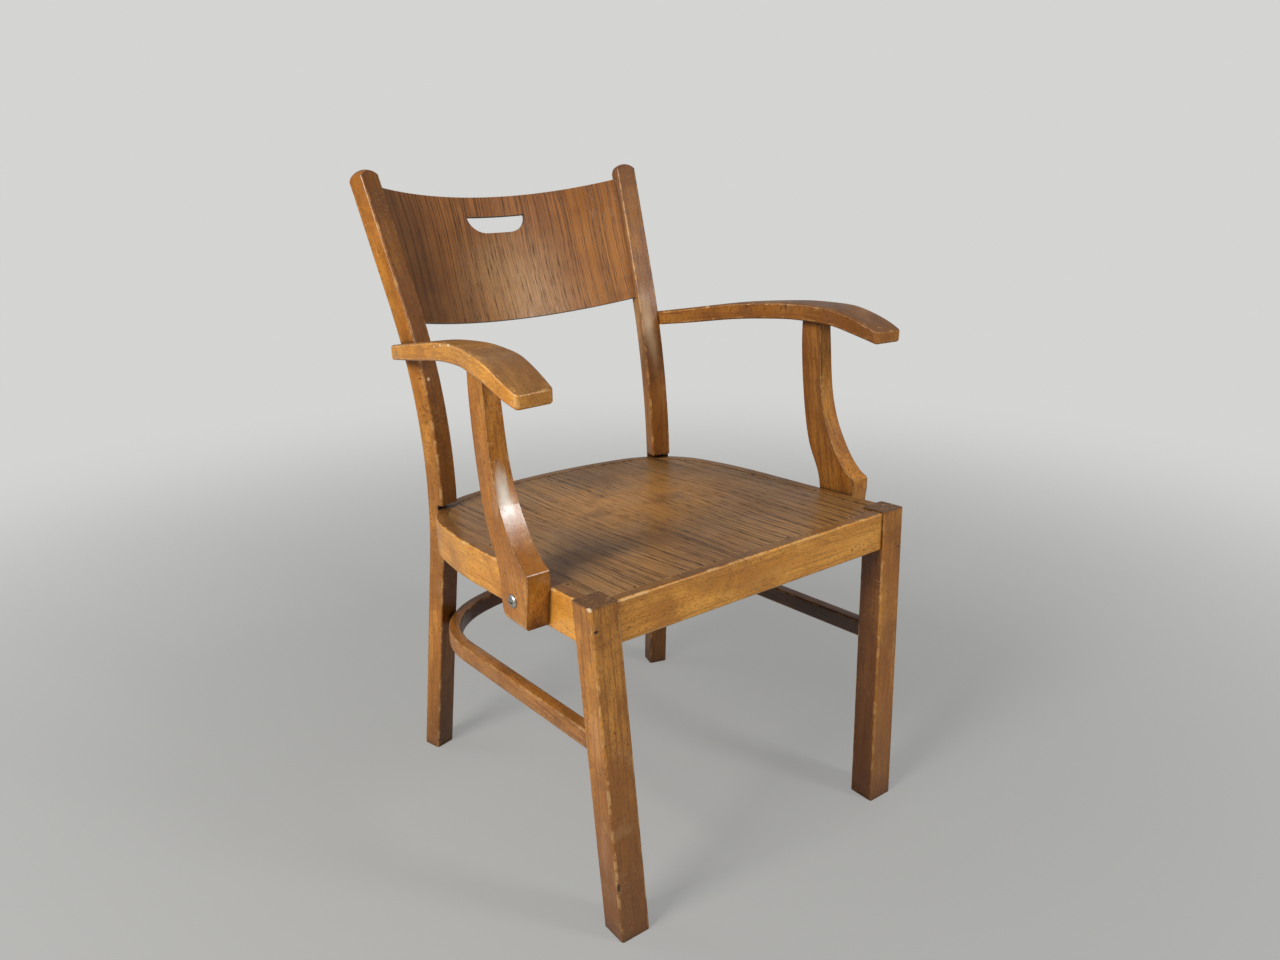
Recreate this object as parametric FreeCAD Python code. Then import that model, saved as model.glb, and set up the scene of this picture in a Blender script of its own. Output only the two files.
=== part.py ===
import FreeCAD, Part
import math, os

V = FreeCAD.Vector

# Driving dimensions, in millimetres and degrees.
# X runs across the chair, Y from front to back, Z up.
# Y starts at the front face of the front legs' tops until the last step centres the chair.

# Seat frame
seat_top_front = 430.5
seat_slope = 3.14
ring_half_width = 253.0
ring_rear = 517.0
ring_side_end = 268.0
ring_side_radius = 700.0
ring_corner_radius = 130.0
ring_bow_radius = 600.0
ring_thickness = 26.0
ring_height = 52.0
ring_arris = 3.0

# Seat panel
seat_border = 17.0
seat_panel_thickness = 9.0
seat_panel_drop = 0.8
seat_notch_gap = 0.5

# Front legs
leg_top_beyond = 4.8
leg_top_width = 38.0
leg_foot_inset = 10.8
leg_foot_width = 41.2
leg_foot_front = -25.5
leg_depth = 38.0
leg_proud = 1.5
leg_arris = 3.0

# Front rail
rail_setback = 4.0
rail_thickness = 24.0
rail_strip = 16.0
rail_arris = 3.0

# Back posts
post_foot_inset = 22.4
post_foot_y = 485.6
post_width = 31.0
post_depth = 30.0
post_turn = 16.0
post_lean = 1.3
post_lower_lean = 6.2
post_rake = 22.4
post_bend_radius = 778.0
post_bend_start = 321.0
post_height = 873.0
post_arris = 3.0
post_dome_radius = 24.0
post_dome_depth = 14.0
post_notch_gap = 6.5

# Back panel
back_top = 852.4
back_bottom = 668.5
back_radius = 405.0
back_thickness = 6.0
back_inset = 13.0
back_housing = 8.0
hand_hole_half_width = 51.0
hand_hole_height = 26.5
hand_hole_corner = 31.0
hand_hole_below_top = 31.5

# Arms
arm_thickness = 24.0
arm_high = 687.0
arm_front = 59.0
arm_rear = 517.0
arm_tip_skew = 2.0
arm_arris = 3.5
arm_corner = 6.0

# Arm posts
arm_post_foot_thickness = 31.0
arm_post_top_thickness = 20.5
arm_post_top_inset = 7.5
arm_post_drawn_rise = 232.5
arm_post_foot_round = 8.0

# Stretcher hoop
hoop_inset = 11.0
hoop_rear = 538.0
hoop_side_end = 360.0
hoop_side_radius = 700.0
hoop_corner_radius = 160.0
hoop_bow_radius = 400.0
hoop_thickness = 18.0
hoop_height = 24.5
hoop_drop = 171.0
hoop_arris = 3.0

# Corner blocks
block_leg = 46.0
block_height = 36.0
block_drop = 12.5

# Dowels, screws, bolts and pins
dowel_diameter = 8.0
dowel_half_length = 16.0
dowel_spacing = 20.0
arm_dowel_length = 38.0
arm_dowel_in_arm = 14.0
arm_dowel_pitch = 16.0
screw_diameter = 5.0
screw_head_diameter = 9.0
screw_head_depth = 3.0
screw_length = 44.0
arm_screw_length = 34.0
plug_diameter = 11.0
plug_depth = 6.0
plug_proud = 0.6
bolt_diameter = 8.0
bolt_hole_clearance = 0.4
bolt_head_diameter = 16.5
bolt_head_height = 4.5
bolt_slot_width = 2.0
bolt_slot_depth = 1.6
bolt_tail = 3.0
bolt_y = 120.0
bolt_drop = 24.9
washer_diameter = 17.0
washer_thickness = 1.6
nut_across_flats = 13.0
nut_height = 6.5
pin_diameter = 1.8
pin_head_diameter = 4.0
pin_head_depth = 1.0
pin_length = 22.0

# Shape of the arm seen from above: (Y, distance beyond the side of the seat ring)
arm_inner_edge = [
    (arm_front + arm_tip_skew, 1.1),
    (99.0, -2.4),
    (159.0, -8.1),
    (207.0, -12.6),
    (256.0, -17.4),
    (327.0, -24.0),
    (402.0, -31.1),
    (471.0, -37.6),
    (483.0, -38.8),
]
arm_outer_edge = [
    (arm_front, 47.5),
    (81.0, 50.2),
    (112.0, 49.0),
    (135.0, 46.8),
    (166.0, 42.0),
    (219.0, 29.5),
    (268.0, 19.0),
    (336.0, 7.0),
    (403.0, -3.2),
    (500.0, -13.7),
    (arm_rear, -15.6),
]

# Arm seen from the side: (Y, drop of the top below its highest line, share of the full thickness)
arm_side_line = [
    (40.0, 36.0, 0.65),
    (59.0, 26.0, 0.73),
    (81.0, 17.0, 0.86),
    (112.0, 7.0, 0.98),
    (137.0, 1.6, 1.0),
    (170.0, 0.0, 1.0),
    (205.0, 0.2, 1.0),
    (249.0, 3.6, 1.0),
    (312.0, 11.0, 1.0),
    (403.0, 26.8, 0.98),
    (510.0, 46.0, 0.88),
    (530.0, 49.6, 0.86),
]

# Arm post seen from the side: (Y, height above the seat's front edge)
# The front edge is listed downwards and the rear edge upwards
arm_post_front = [
    (168.0, 243.5),
    (168.0, 221.5),
    (165.5, 194.5),
    (163.0, 164.5),
    (156.2, 120.5),
    (143.0, 82.5),
    (128.0, 56.5),
    (118.0, 42.5),
    (105.0, 28.5),
    (88.0, 18.0),
]
arm_post_toe = [
    (86.0, 14.5),
    (86.0, -0.5),
    (92.6, -53.0),
]
arm_post_rear = [
    (130.0, -55.0),
    (140.5, -49.0),
    (145.7, -36.0),
    (148.0, -12.5),
    (153.5, 12.5),
    (171.5, 46.5),
    (185.0, 87.5),
    (193.0, 127.5),
    (200.5, 179.5),
    (203.0, 209.5),
    (203.2, 243.5),
]

# Working sizes derived from the above
big = 2000.0
leg_top_outer = ring_half_width + leg_top_beyond
leg_top_inner = leg_top_outer - leg_top_width
leg_foot_outer = ring_half_width - leg_foot_inset
leg_foot_inner = leg_foot_outer - leg_foot_width
post_foot_x = ring_half_width - post_foot_inset
hoop_half_width = ring_half_width - hoop_inset
slope_rad = math.radians(seat_slope)
panel_bottom = -(seat_panel_drop + seat_panel_thickness)
arm_under = arm_high - arm_thickness
leg_level = seat_top_front + leg_proud
bolt_z = seat_top_front - bolt_drop


def seat_place(shape):
    """Moves a shape from the flat seat frame to the sloped seat."""
    s = shape.copy()
    s.rotate(V(0, 0, 0), V(1, 0, 0), -seat_slope)
    s.translate(V(0, 0, seat_top_front))
    return s


def seat_point(x, v, w):
    """World point of a point in the flat seat frame."""
    y = v * math.cos(slope_rad) + w * math.sin(slope_rad)
    z = -v * math.sin(slope_rad) + w * math.cos(slope_rad) + seat_top_front
    return V(x, y, z)


def seat_direction(x, v, w):
    """World direction of a direction in the flat seat frame."""
    y = v * math.cos(slope_rad) + w * math.sin(slope_rad)
    z = -v * math.sin(slope_rad) + w * math.cos(slope_rad)
    return V(x, y, z)


def box(x0, x1, y0, y1, z0, z1):
    """Box from its six bounds."""
    return Part.makeBox(x1 - x0, y1 - y0, z1 - z0, V(x0, y0, z0))


def mirrored(shape):
    """Left-hand copy of a right-hand shape."""
    return shape.mirror(V(0, 0, 0), V(1, 0, 0))


def both_sides(shapes):
    """Right-hand shapes followed by their left-hand copies."""
    return list(shapes) + [mirrored(s) for s in shapes]


def cut_all(shape, tools):
    """Shape with every tool removed."""
    for tool in tools:
        shape = shape.cut(tool)
    return shape


def biggest(shape):
    """The largest solid of a shape."""
    return max(shape.Solids, key=lambda s: s.Volume)


def vertical_edges(shape, zmin):
    """Edges that rise by more than zmin from end to end."""
    found = []
    for e in shape.Edges:
        a = e.Vertexes[0].Point
        b = e.Vertexes[-1].Point
        if abs(a.z - b.z) > zmin:
            found.append(e)
    return found


def along(shape, start, direction):
    """Moves a shape built up the Z axis so that it starts at a point and follows a direction."""
    s = shape.copy()
    rot = FreeCAD.Rotation(V(0, 0, 1), direction)
    s.Placement = FreeCAD.Placement(start, rot)
    return s


def frustum_box(x_low, x_high, y_low, y_high, z_low, z_high):
    """Solid between two level rectangles, each given by its X range and Y range."""
    wires = []
    for xs, ys, z in ((x_low, y_low, z_low), (x_high, y_high, z_high)):
        pts = [V(xs[0], ys[0], z), V(xs[1], ys[0], z), V(xs[1], ys[1], z), V(xs[0], ys[1], z)]
        wires.append(Part.makePolygon(pts + [pts[0]]))
    return Part.makeLoft(wires, True, True)


# Bent hoops, drawn as a straight side, an easy curve, a corner and a bow at the back
def hoop_angles(spec):
    """Angle where the easy curve ends and angle where the corner meets the bow."""
    half, side_end, side_r, corner_r, bow_r, rear = spec
    bow_y = rear - bow_r

    def miss(a):
        cx = half - side_r + (side_r - corner_r) * math.cos(a)
        cy = side_end + (side_r - corner_r) * math.sin(a)
        return math.hypot(cx, cy - bow_y) - (bow_r - corner_r)

    low = 0.0
    high = 0.9
    for _ in range(60):
        mid = (low + high) / 2
        if miss(low) * miss(mid) <= 0:
            high = mid
        else:
            low = mid
    a = (low + high) / 2
    cx = half - side_r + (side_r - corner_r) * math.cos(a)
    cy = side_end + (side_r - corner_r) * math.sin(a)
    return a, math.atan2(cy - bow_y, cx)


def hoop_prism(spec, inset, start, low, high):
    """Solid inside a hoop outline moved inwards by the inset, between two levels."""
    half, side_end, side_r, corner_r, bow_r, rear = spec
    a, b = hoop_angles(spec)
    side_c = V(half - side_r, side_end, low)
    corner_c = side_c + V(math.cos(a), math.sin(a), 0) * (side_r - corner_r)

    def on(c, r, t):
        return c + V(math.cos(t), math.sin(t), 0) * (r - inset)

    p0 = V(half - inset, start, low)
    p1 = on(side_c, side_r, 0)
    p2 = on(side_c, side_r, a)
    p3 = on(corner_c, corner_r, b)
    m1 = on(side_c, side_r, a / 2)
    m2 = on(corner_c, corner_r, (a + b) / 2)
    top = V(0, rear - inset, low)

    def flip(p):
        return V(-p.x, p.y, p.z)

    edges = [
        Part.makeLine(p0, p1),
        Part.Arc(p1, m1, p2).toShape(),
        Part.Arc(p2, m2, p3).toShape(),
        Part.Arc(p3, top, flip(p3)).toShape(),
        Part.Arc(flip(p3), flip(m2), flip(p2)).toShape(),
        Part.Arc(flip(p2), flip(m1), flip(p1)).toShape(),
        Part.makeLine(flip(p1), flip(p0)),
        Part.makeLine(flip(p0), p0),
    ]
    face = Part.Face(Part.Wire(edges))
    return face.extrude(V(0, 0, high - low))


def hoop_normal(spec, x, inset):
    """Plan point and outward direction on a hoop outline at a given X on its corner."""
    half, side_end, side_r, corner_r, bow_r, rear = spec
    a, _ = hoop_angles(spec)
    cx = half - side_r + (side_r - corner_r) * math.cos(a)
    cy = side_end + (side_r - corner_r) * math.sin(a)
    r = corner_r - inset
    t = math.acos((x - cx) / r)
    return (cx + r * math.cos(t), cy + r * math.sin(t)), (math.cos(t), math.sin(t))


ring_spec = (
    ring_half_width,
    ring_side_end,
    ring_side_radius,
    ring_corner_radius,
    ring_bow_radius,
    ring_rear,
)
hoop_spec = (
    hoop_half_width,
    hoop_side_end,
    hoop_side_radius,
    hoop_corner_radius,
    hoop_bow_radius,
    hoop_rear,
)

# Front legs
leg_slope_y = -leg_foot_front / leg_level
leg_slope_out = (leg_top_outer - leg_foot_outer) / leg_level
leg_slope_in = (leg_top_inner - leg_foot_inner) / leg_level
leg_over = 40.0


def leg_zone(x_in, x_out, y_front, y_rear):
    """Sloped block that follows the faces of the right front leg."""
    top = leg_level + leg_over
    low_x = (x_in[0], x_out[0])
    high_x = (x_in[0] + x_in[1] * top, x_out[0] + x_out[1] * top)
    low_y = (y_front + leg_foot_front, y_rear + leg_foot_front)
    high_y = (low_y[0] + leg_slope_y * top, low_y[1] + leg_slope_y * top)
    return frustum_box(low_x, high_x, low_y, high_y, 0.0, top)


leg_in = (leg_foot_inner, leg_slope_in)
leg_out = (leg_foot_outer, leg_slope_out)
leg_raw = leg_zone(leg_in, leg_out, 0.0, leg_depth)
leg_top_cut = seat_place(box(-big, big, -big, big, leg_proud, big))
leg_blank = leg_raw.makeFillet(leg_arris, vertical_edges(leg_raw, leg_level / 2))
leg_blank = leg_blank.cut(leg_top_cut)

# Region in front of the rear faces of the front legs, and region between the legs
ahead_of_leg_backs = leg_zone((-big, 0.0), (big, 0.0), -big, leg_depth)
between_legs = frustum_box(
    (-leg_foot_inner, leg_foot_inner),
    (-leg_foot_inner - leg_slope_in * big, leg_foot_inner + leg_slope_in * big),
    (-big, big),
    (-big, big),
    0.0,
    big,
)

# Seat ring
ring_solid = hoop_prism(ring_spec, 0.0, rail_setback, -ring_height, 0.0)
ring_edges = []
for e in ring_solid.Edges:
    if abs(e.Vertexes[0].Point.z - e.Vertexes[-1].Point.z) < 1.0 and e.BoundBox.YMax > rail_setback + 1.0:
        ring_edges.append(e)
ring_solid = ring_solid.makeFillet(ring_arris, ring_edges)
ring_bore = hoop_prism(ring_spec, ring_thickness, -ring_thickness, -big, big)
panel_recess = hoop_prism(ring_spec, seat_border, rail_setback + rail_strip, panel_bottom, big)
seat_ring = seat_place(ring_solid.cut(ring_bore).cut(panel_recess)).cut(ahead_of_leg_backs)

# Front rail
rail_raw = box(
    -ring_half_width,
    ring_half_width,
    rail_setback,
    rail_setback + rail_thickness,
    -ring_height,
    0.0,
)
rail_edges = []
for e in rail_raw.Edges:
    c = e.CenterOfMass
    if abs(c.x) < 1.0 and abs(c.y - rail_setback) < 0.1:
        rail_edges.append(e)
rail_raw = rail_raw.makeFillet(rail_arris, rail_edges)
front_rail = seat_place(rail_raw.cut(panel_recess)).common(between_legs)

# Seat panel
seat_panel_flat = hoop_prism(
    ring_spec,
    seat_border,
    rail_setback + rail_strip,
    panel_bottom,
    -seat_panel_drop,
)
notch_in = (leg_foot_inner - seat_notch_gap, leg_slope_in)
notch_out = (leg_foot_outer + seat_notch_gap, leg_slope_out)
leg_notch = leg_zone(notch_in, notch_out, -big, leg_depth + seat_notch_gap)
seat_panel = cut_all(seat_place(seat_panel_flat), both_sides([leg_notch]))

# Back posts, drawn upright in their own frame: X across, Y depth, Z height
low_a = math.radians(post_lower_lean)
high_a = math.radians(post_rake)
bend_front = V(0, -post_bend_start * math.tan(low_a), post_bend_start)
bend_centre = bend_front + V(0, math.cos(low_a), math.sin(low_a)) * post_bend_radius


def bend_point(angle, inset):
    """Point on the bend, moved into the post by the inset."""
    r = post_bend_radius - inset
    return bend_centre - V(0, math.cos(angle), -math.sin(angle)) * r


def front_depth(z):
    """Depth of the post's front face at a height, in the post's own frame."""
    p2 = bend_point(high_a, 0.0)
    if z <= bend_front.z:
        return -z * math.tan(low_a)
    if z >= p2.z:
        return p2.y + (z - p2.z) * math.tan(high_a)
    t = math.asin((z - bend_centre.z) / post_bend_radius)
    return bend_centre.y - post_bend_radius * math.cos(t)


post_below = 30.0
post_above = 60.0
low_dir = V(0, -math.sin(low_a), math.cos(low_a))
high_dir = V(0, math.sin(high_a), math.cos(high_a))
low_run = (post_bend_start + post_below) / math.cos(low_a)
high_run = (post_height + post_above - bend_point(high_a, 0.0).z) / math.cos(high_a)
f1 = bend_point(-low_a, 0.0)
f2 = bend_point(high_a, 0.0)
r1 = bend_point(-low_a, post_depth)
r2 = bend_point(high_a, post_depth)
f0 = f1 - low_dir * low_run
f3 = f2 + high_dir * high_run
r0 = r1 - low_dir * low_run
r3 = r2 + high_dir * high_run
mid_a = (high_a - low_a) / 2
post_wire = Part.Wire([
    Part.makeLine(f0, f1),
    Part.Arc(f1, bend_point(mid_a, 0.0), f2).toShape(),
    Part.makeLine(f2, f3),
    Part.makeLine(f3, r3),
    Part.makeLine(r3, r2),
    Part.Arc(r2, bend_point(mid_a, post_depth), r1).toShape(),
    Part.makeLine(r1, r0),
    Part.makeLine(r0, f0),
])
post_profile = Part.Face(post_wire)
post_up = post_profile.extrude(V(-post_width, 0, 0))
post_sides = []
for e in post_up.Edges:
    if e.BoundBox.ZLength > post_depth * 2:
        post_sides.append(e)
post_up = post_up.makeFillet(post_arris, post_sides)

# Domed top of a post
mid_line = f2 + V(-post_width / 2, 0, 0) + V(0, math.cos(high_a), -math.sin(high_a)) * (post_depth / 2)
to_top = (post_height - mid_line.z) / math.cos(high_a)
post_tip = mid_line + high_dir * to_top
dome = Part.makeSphere(post_dome_radius, post_tip - high_dir * post_dome_radius)
cap = along(
    box(-post_width, post_width, -post_depth, post_depth, 0.0, post_above * 3),
    post_tip - high_dir * post_dome_depth,
    high_dir,
)
post_up = biggest(post_up.cut(cap.cut(dome)))


def post_place(shape):
    """Moves a shape from the upright post frame to the right-hand post."""
    s = shape.copy()
    s.rotate(V(0, 0, 0), V(0, 0, 1), -post_turn)
    s.rotate(V(0, 0, 0), V(0, 1, 0), -post_lean)
    s.translate(V(post_foot_x, post_foot_y, 0))
    return s


def post_point(x, y, z):
    """World point of a point in the upright post frame."""
    m = FreeCAD.Rotation(V(0, 1, 0), -post_lean).multiply(FreeCAD.Rotation(V(0, 0, 1), -post_turn))
    return m.multVec(V(x, y, z)) + V(post_foot_x, post_foot_y, 0)


def post_direction(x, y, z):
    """World direction of a direction in the upright post frame."""
    return post_point(x, y, z) - post_point(0, 0, 0)


post_blank = post_place(post_up).cut(box(-big, big, -big, big, -big, 0.0))
ring_housing = seat_place(hoop_prism(ring_spec, 0.0, 0.0, -ring_height, post_notch_gap))
post_blank = biggest(post_blank.cut(ring_housing))

# Stretcher hoop
hoop_low = -hoop_drop - hoop_height
hoop_outer = hoop_prism(hoop_spec, 0.0, 0.0, hoop_low, -hoop_drop)
hoop_edges = []
for e in hoop_outer.Edges:
    if abs(e.Vertexes[0].Point.z - e.Vertexes[-1].Point.z) < 1.0 and e.BoundBox.YMax > 1.0:
        hoop_edges.append(e)
hoop_outer = hoop_outer.makeFillet(hoop_arris, hoop_edges)
hoop_bore = hoop_prism(hoop_spec, hoop_thickness, -hoop_thickness, -big, big)
stretcher = seat_place(hoop_outer.cut(hoop_bore)).cut(ahead_of_leg_backs)
stretcher = cut_all(stretcher, both_sides([post_blank]))
stretcher = biggest(stretcher)

# Back panel, drawn upright: X across, Y depth behind the middle of its front face, Z height
top_touch = post_point(-post_width, front_depth(back_top) + back_inset, back_top)
low_touch = post_point(-post_width, front_depth(back_bottom) + back_inset, back_bottom)


def back_sag(x):
    """Depth of the panel's hollow between its middle and a half width."""
    return back_radius - math.sqrt(back_radius ** 2 - x ** 2)


back_rake = math.radians(post_rake)
for _ in range(6):
    sag_top = back_sag(top_touch.x)
    sag_low = back_sag(low_touch.x)
    top_y = top_touch.y + sag_top * math.cos(back_rake)
    top_z = top_touch.z - sag_top * math.sin(back_rake)
    low_y = low_touch.y + sag_low * math.cos(back_rake)
    low_z = low_touch.z - sag_low * math.sin(back_rake)
    back_rake = math.atan2(top_y - low_y, top_z - low_z)
back_height = math.hypot(top_y - low_y, top_z - low_z)

back_axis = V(0, -back_radius, 0)
back_shell = Part.makeCylinder(back_radius + back_thickness, back_height, back_axis)
back_shell = back_shell.cut(Part.makeCylinder(back_radius, back_height, back_axis))
back_shell = back_shell.common(box(-big, big, -back_radius * 0.6, big, -big, big))
hole_level = back_height - hand_hole_below_top
hole_flat = hand_hole_half_width - hand_hole_corner
corner_ellipse = Part.Ellipse(V(hand_hole_corner, 0, 0), V(0, hand_hole_height, 0), V(0, 0, 0))
corner_face = Part.Face(Part.Wire(corner_ellipse.toShape()))
corner_tool = corner_face.extrude(V(0, 0, back_radius / 2))
hole_tool = box(-hole_flat, hole_flat, -hand_hole_height, 0.0, 0.0, back_radius / 2)
for side in (-1, 1):
    hole_tool = hole_tool.fuse(corner_tool.translated(V(side * hole_flat, 0, 0)))
hole_tool = hole_tool.common(box(-big, big, -big, 0.0, -big, big)).removeSplitter()
hole_tool.rotate(V(0, 0, 0), V(1, 0, 0), 90)
hole_tool.translate(V(0, back_radius / 4, hole_level))
back_shell = back_shell.cut(hole_tool)
back_panel = back_shell.copy()
back_panel.rotate(V(0, 0, 0), V(1, 0, 0), -math.degrees(back_rake))
back_panel.translate(V(0, low_y, low_z))
beyond = post_place(box(-post_width + back_housing, big, -big, big, -big, big))
back_panel = cut_all(back_panel, both_sides([beyond]))
back_panel = biggest(back_panel)
back_post = biggest(post_blank.cut(back_panel))

# Arms
def spline_edge(points):
    """Smooth edge through points."""
    curve = Part.BSplineCurve()
    curve.interpolate(points)
    return curve.toShape()


inner_pts = [V(ring_half_width + x, y, 0) for y, x in arm_inner_edge]
outer_pts = [V(ring_half_width + x, y, 0) for y, x in arm_outer_edge]
inner_tail = V(inner_pts[-1].x - post_depth / 4, arm_rear, 0)
plan_wire = Part.Wire([
    spline_edge(inner_pts),
    Part.makeLine(inner_pts[-1], inner_tail),
    Part.makeLine(inner_tail, outer_pts[-1]),
    spline_edge(list(reversed(outer_pts))),
    Part.makeLine(outer_pts[0], inner_pts[0]),
])
arm_plan = Part.Face(plan_wire).extrude(V(0, 0, arm_high * 2))
corner_edges = []
for e in vertical_edges(arm_plan, arm_high):
    c = e.CenterOfMass
    if c.y < arm_front + arm_corner or (abs(c.y - arm_rear) < 0.5 and c.x > post_foot_x):
        corner_edges.append(e)
arm_plan = arm_plan.makeFillet(arm_corner, corner_edges)
top_pts = [V(0, y, arm_high - drop) for y, drop, _ in arm_side_line]
low_pts = [V(0, y, arm_high - drop - arm_thickness * share) for y, drop, share in arm_side_line]
side_wire = Part.Wire([
    spline_edge(top_pts),
    Part.makeLine(top_pts[-1], low_pts[-1]),
    spline_edge(list(reversed(low_pts))),
    Part.makeLine(low_pts[0], top_pts[0]),
])
arm_side = Part.Face(side_wire).extrude(V(arm_high, 0, 0))
arm_blank = biggest(arm_plan.common(arm_side))
arm_long_edges = []
for e in arm_blank.Edges:
    if e.BoundBox.YLength > arm_high / 2:
        arm_long_edges.append(e)
arm_blank = arm_blank.makeFillet(arm_arris, arm_long_edges)
beside_post = post_profile.extrude(V(-big, 0, 0))
behind_post = beside_post.copy()
behind_post.translate(V(0, post_depth, 0))
arm_blank = biggest(cut_all(arm_blank, [post_place(beside_post), post_place(behind_post)]))

# Arm posts
def arm_post_level(height):
    """Level of an outline point, spread above the seat to reach the arm."""
    if height <= 0:
        return seat_top_front + height
    return seat_top_front + height * (arm_under - seat_top_front) / arm_post_drawn_rise


post_pts_front = [V(0, y, arm_post_level(h)) for y, h in arm_post_front]
post_pts_toe = [V(0, y, arm_post_level(h)) for y, h in arm_post_toe]
post_pts_rear = [V(0, y, arm_post_level(h)) for y, h in arm_post_rear]
arm_post_wire = Part.Wire([
    spline_edge(post_pts_front),
    Part.makeLine(post_pts_front[-1], post_pts_toe[0]),
    Part.makeLine(post_pts_toe[0], post_pts_toe[1]),
    Part.makeLine(post_pts_toe[1], post_pts_toe[2]),
    Part.makeLine(post_pts_toe[2], post_pts_rear[0]),
    spline_edge(post_pts_rear),
    Part.makeLine(post_pts_rear[-1], post_pts_front[0]),
])
arm_post_blank = Part.Face(arm_post_wire).extrude(V(ring_half_width * 2, 0, 0))
foot_level = arm_post_level(arm_post_rear[0][1])
foot_inner = ring_half_width
foot_outer = ring_half_width + arm_post_foot_thickness
top_inner = ring_half_width + arm_post_top_inset
top_outer = top_inner + arm_post_top_thickness
inner_lean = (top_inner - foot_inner) / (arm_under - seat_top_front)
outer_lean = (top_outer - foot_outer) / (arm_under - foot_level)


def arm_post_outer_at(level):
    """X of the arm post's outer face at a level."""
    return foot_outer + outer_lean * (level - foot_level)


across_pts = [
    V(foot_inner, -big, foot_level),
    V(foot_inner, -big, seat_top_front),
    V(foot_inner + inner_lean * arm_high, -big, seat_top_front + arm_high),
    V(arm_post_outer_at(arm_high * 2), -big, arm_high * 2),
    V(foot_outer, -big, foot_level),
]
across = Part.Face(Part.makePolygon(across_pts + [across_pts[0]]))
arm_post_blank = biggest(arm_post_blank.common(across.extrude(V(0, big * 2, 0))))

# Rounded outer bottom corner of the arm post
round_top = V(foot_outer + outer_lean * arm_post_foot_round, -big, foot_level + arm_post_foot_round)
round_end = V(round_top.x - arm_post_foot_round, -big, foot_level)
to_arc = arm_post_foot_round * (1 - math.sqrt(0.5))
round_mid = V(round_top.x - to_arc, -big, foot_level + to_arc)
round_out = V(foot_outer + arm_post_foot_round, -big, foot_level)
corner_wire = Part.Wire([
    Part.Arc(round_top, round_mid, round_end).toShape(),
    Part.makeLine(round_end, round_out),
    Part.makeLine(round_out, round_top),
])
foot_corner = Part.Face(corner_wire).extrude(V(0, big * 2, 0))
arm_post_blank = biggest(arm_post_blank.cut(foot_corner))
arm_post_blank = biggest(arm_post_blank.cut(arm_blank))

# Fastener shapes, all built up the Z axis from their seat
def dowel(length):
    """Round dowel."""
    return Part.makeCylinder(dowel_diameter / 2, length)


def wood_screw(length):
    """Countersunk wood screw, head face at the start and shank along the axis."""
    head = Part.makeCone(screw_head_diameter / 2, screw_diameter / 2, screw_head_depth)
    tip = screw_diameter * 1.6
    shank = Part.makeCylinder(screw_diameter / 2, length - tip - screw_head_depth, V(0, 0, screw_head_depth))
    point = Part.makeCone(screw_diameter / 2, screw_diameter / 10, tip, V(0, 0, length - tip))
    cross = box(-screw_head_diameter / 4, screw_head_diameter / 4, -0.5, 0.5, 0.0, screw_head_depth / 2)
    turned = cross.copy()
    turned.rotate(V(0, 0, 0), V(0, 0, 1), 90)
    whole = head.fuse([shank, point])
    return whole.cut(cross).cut(turned), whole


screw_shape, screw_hole = wood_screw(screw_length)
arm_screw_shape, arm_screw_hole = wood_screw(arm_screw_length)

# Dowels between the front legs, the front rail and the ring ends
dowel_mid = (panel_bottom - ring_height) / 2
dowel_levels = (dowel_mid + dowel_spacing / 2, dowel_mid - dowel_spacing / 2)
rail_mid = rail_setback + rail_thickness * 0.5
leg_back_level = leg_depth
right_rail_dowels = []
for w in dowel_levels:
    level = seat_point(0, rail_mid, w).z
    face_x = leg_foot_inner + leg_slope_in * level
    start = seat_point(face_x - dowel_half_length, rail_mid, w)
    right_rail_dowels.append(along(dowel(dowel_half_length * 2), start, V(1, 0, 0)))
    ring_x = ring_half_width - ring_thickness / 2
    start = seat_point(ring_x, leg_back_level - dowel_half_length, w)
    right_rail_dowels.append(along(dowel(dowel_half_length * 2), start, seat_direction(0, 1, 0)))
rail_dowels = both_sides(right_rail_dowels)

# Dowels between the stretcher hoop and the front legs
hoop_mid = -hoop_drop - hoop_height / 2
hoop_level = seat_point(0, 0, hoop_mid).z
hoop_meet = leg_foot_front + leg_depth + leg_slope_y * hoop_level - hoop_mid * math.sin(slope_rad)
start = seat_point(hoop_half_width - hoop_thickness / 2, hoop_meet - dowel_half_length, hoop_mid)
stretcher_dowels = both_sides([along(dowel(dowel_half_length * 2), start, seat_direction(0, 1, 0))])

# Dowels between the arms and the arm posts
post_mid_y = (arm_post_front[0][0] + arm_post_rear[-1][0]) / 2
right_arm_dowels = []
for k in (-0.5, 0.5):
    start = V(
        (top_inner + top_outer) / 2,
        post_mid_y + k * arm_dowel_pitch,
        arm_under + arm_dowel_in_arm - arm_dowel_length,
    )
    right_arm_dowels.append(along(dowel(arm_dowel_length), start, V(0, 0, 1)))
arm_dowels = both_sides(right_arm_dowels)

# Bolt, washer and nut through each arm post and the ring
bolt_end = ring_half_width - ring_thickness - washer_thickness - nut_height - bolt_tail
bolt_seat = arm_post_outer_at(bolt_z - bolt_head_diameter / 2)
bolt_grip = bolt_seat - bolt_end
head_sphere_r = (bolt_head_diameter ** 2 / 4 + bolt_head_height ** 2) / (2 * bolt_head_height)
bolt_head = Part.makeSphere(head_sphere_r, V(0, 0, head_sphere_r - bolt_head_height))
bolt_head = bolt_head.common(box(-big, big, -big, big, -big, 0.0))
bolt_slot = box(
    -bolt_head_diameter,
    bolt_head_diameter,
    -bolt_slot_width / 2,
    bolt_slot_width / 2,
    -bolt_head_height,
    -bolt_head_height + bolt_slot_depth,
)
bolt_head = bolt_head.cut(bolt_slot)
bolt_shape = bolt_head.fuse(Part.makeCylinder(bolt_diameter / 2, bolt_grip))
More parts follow.
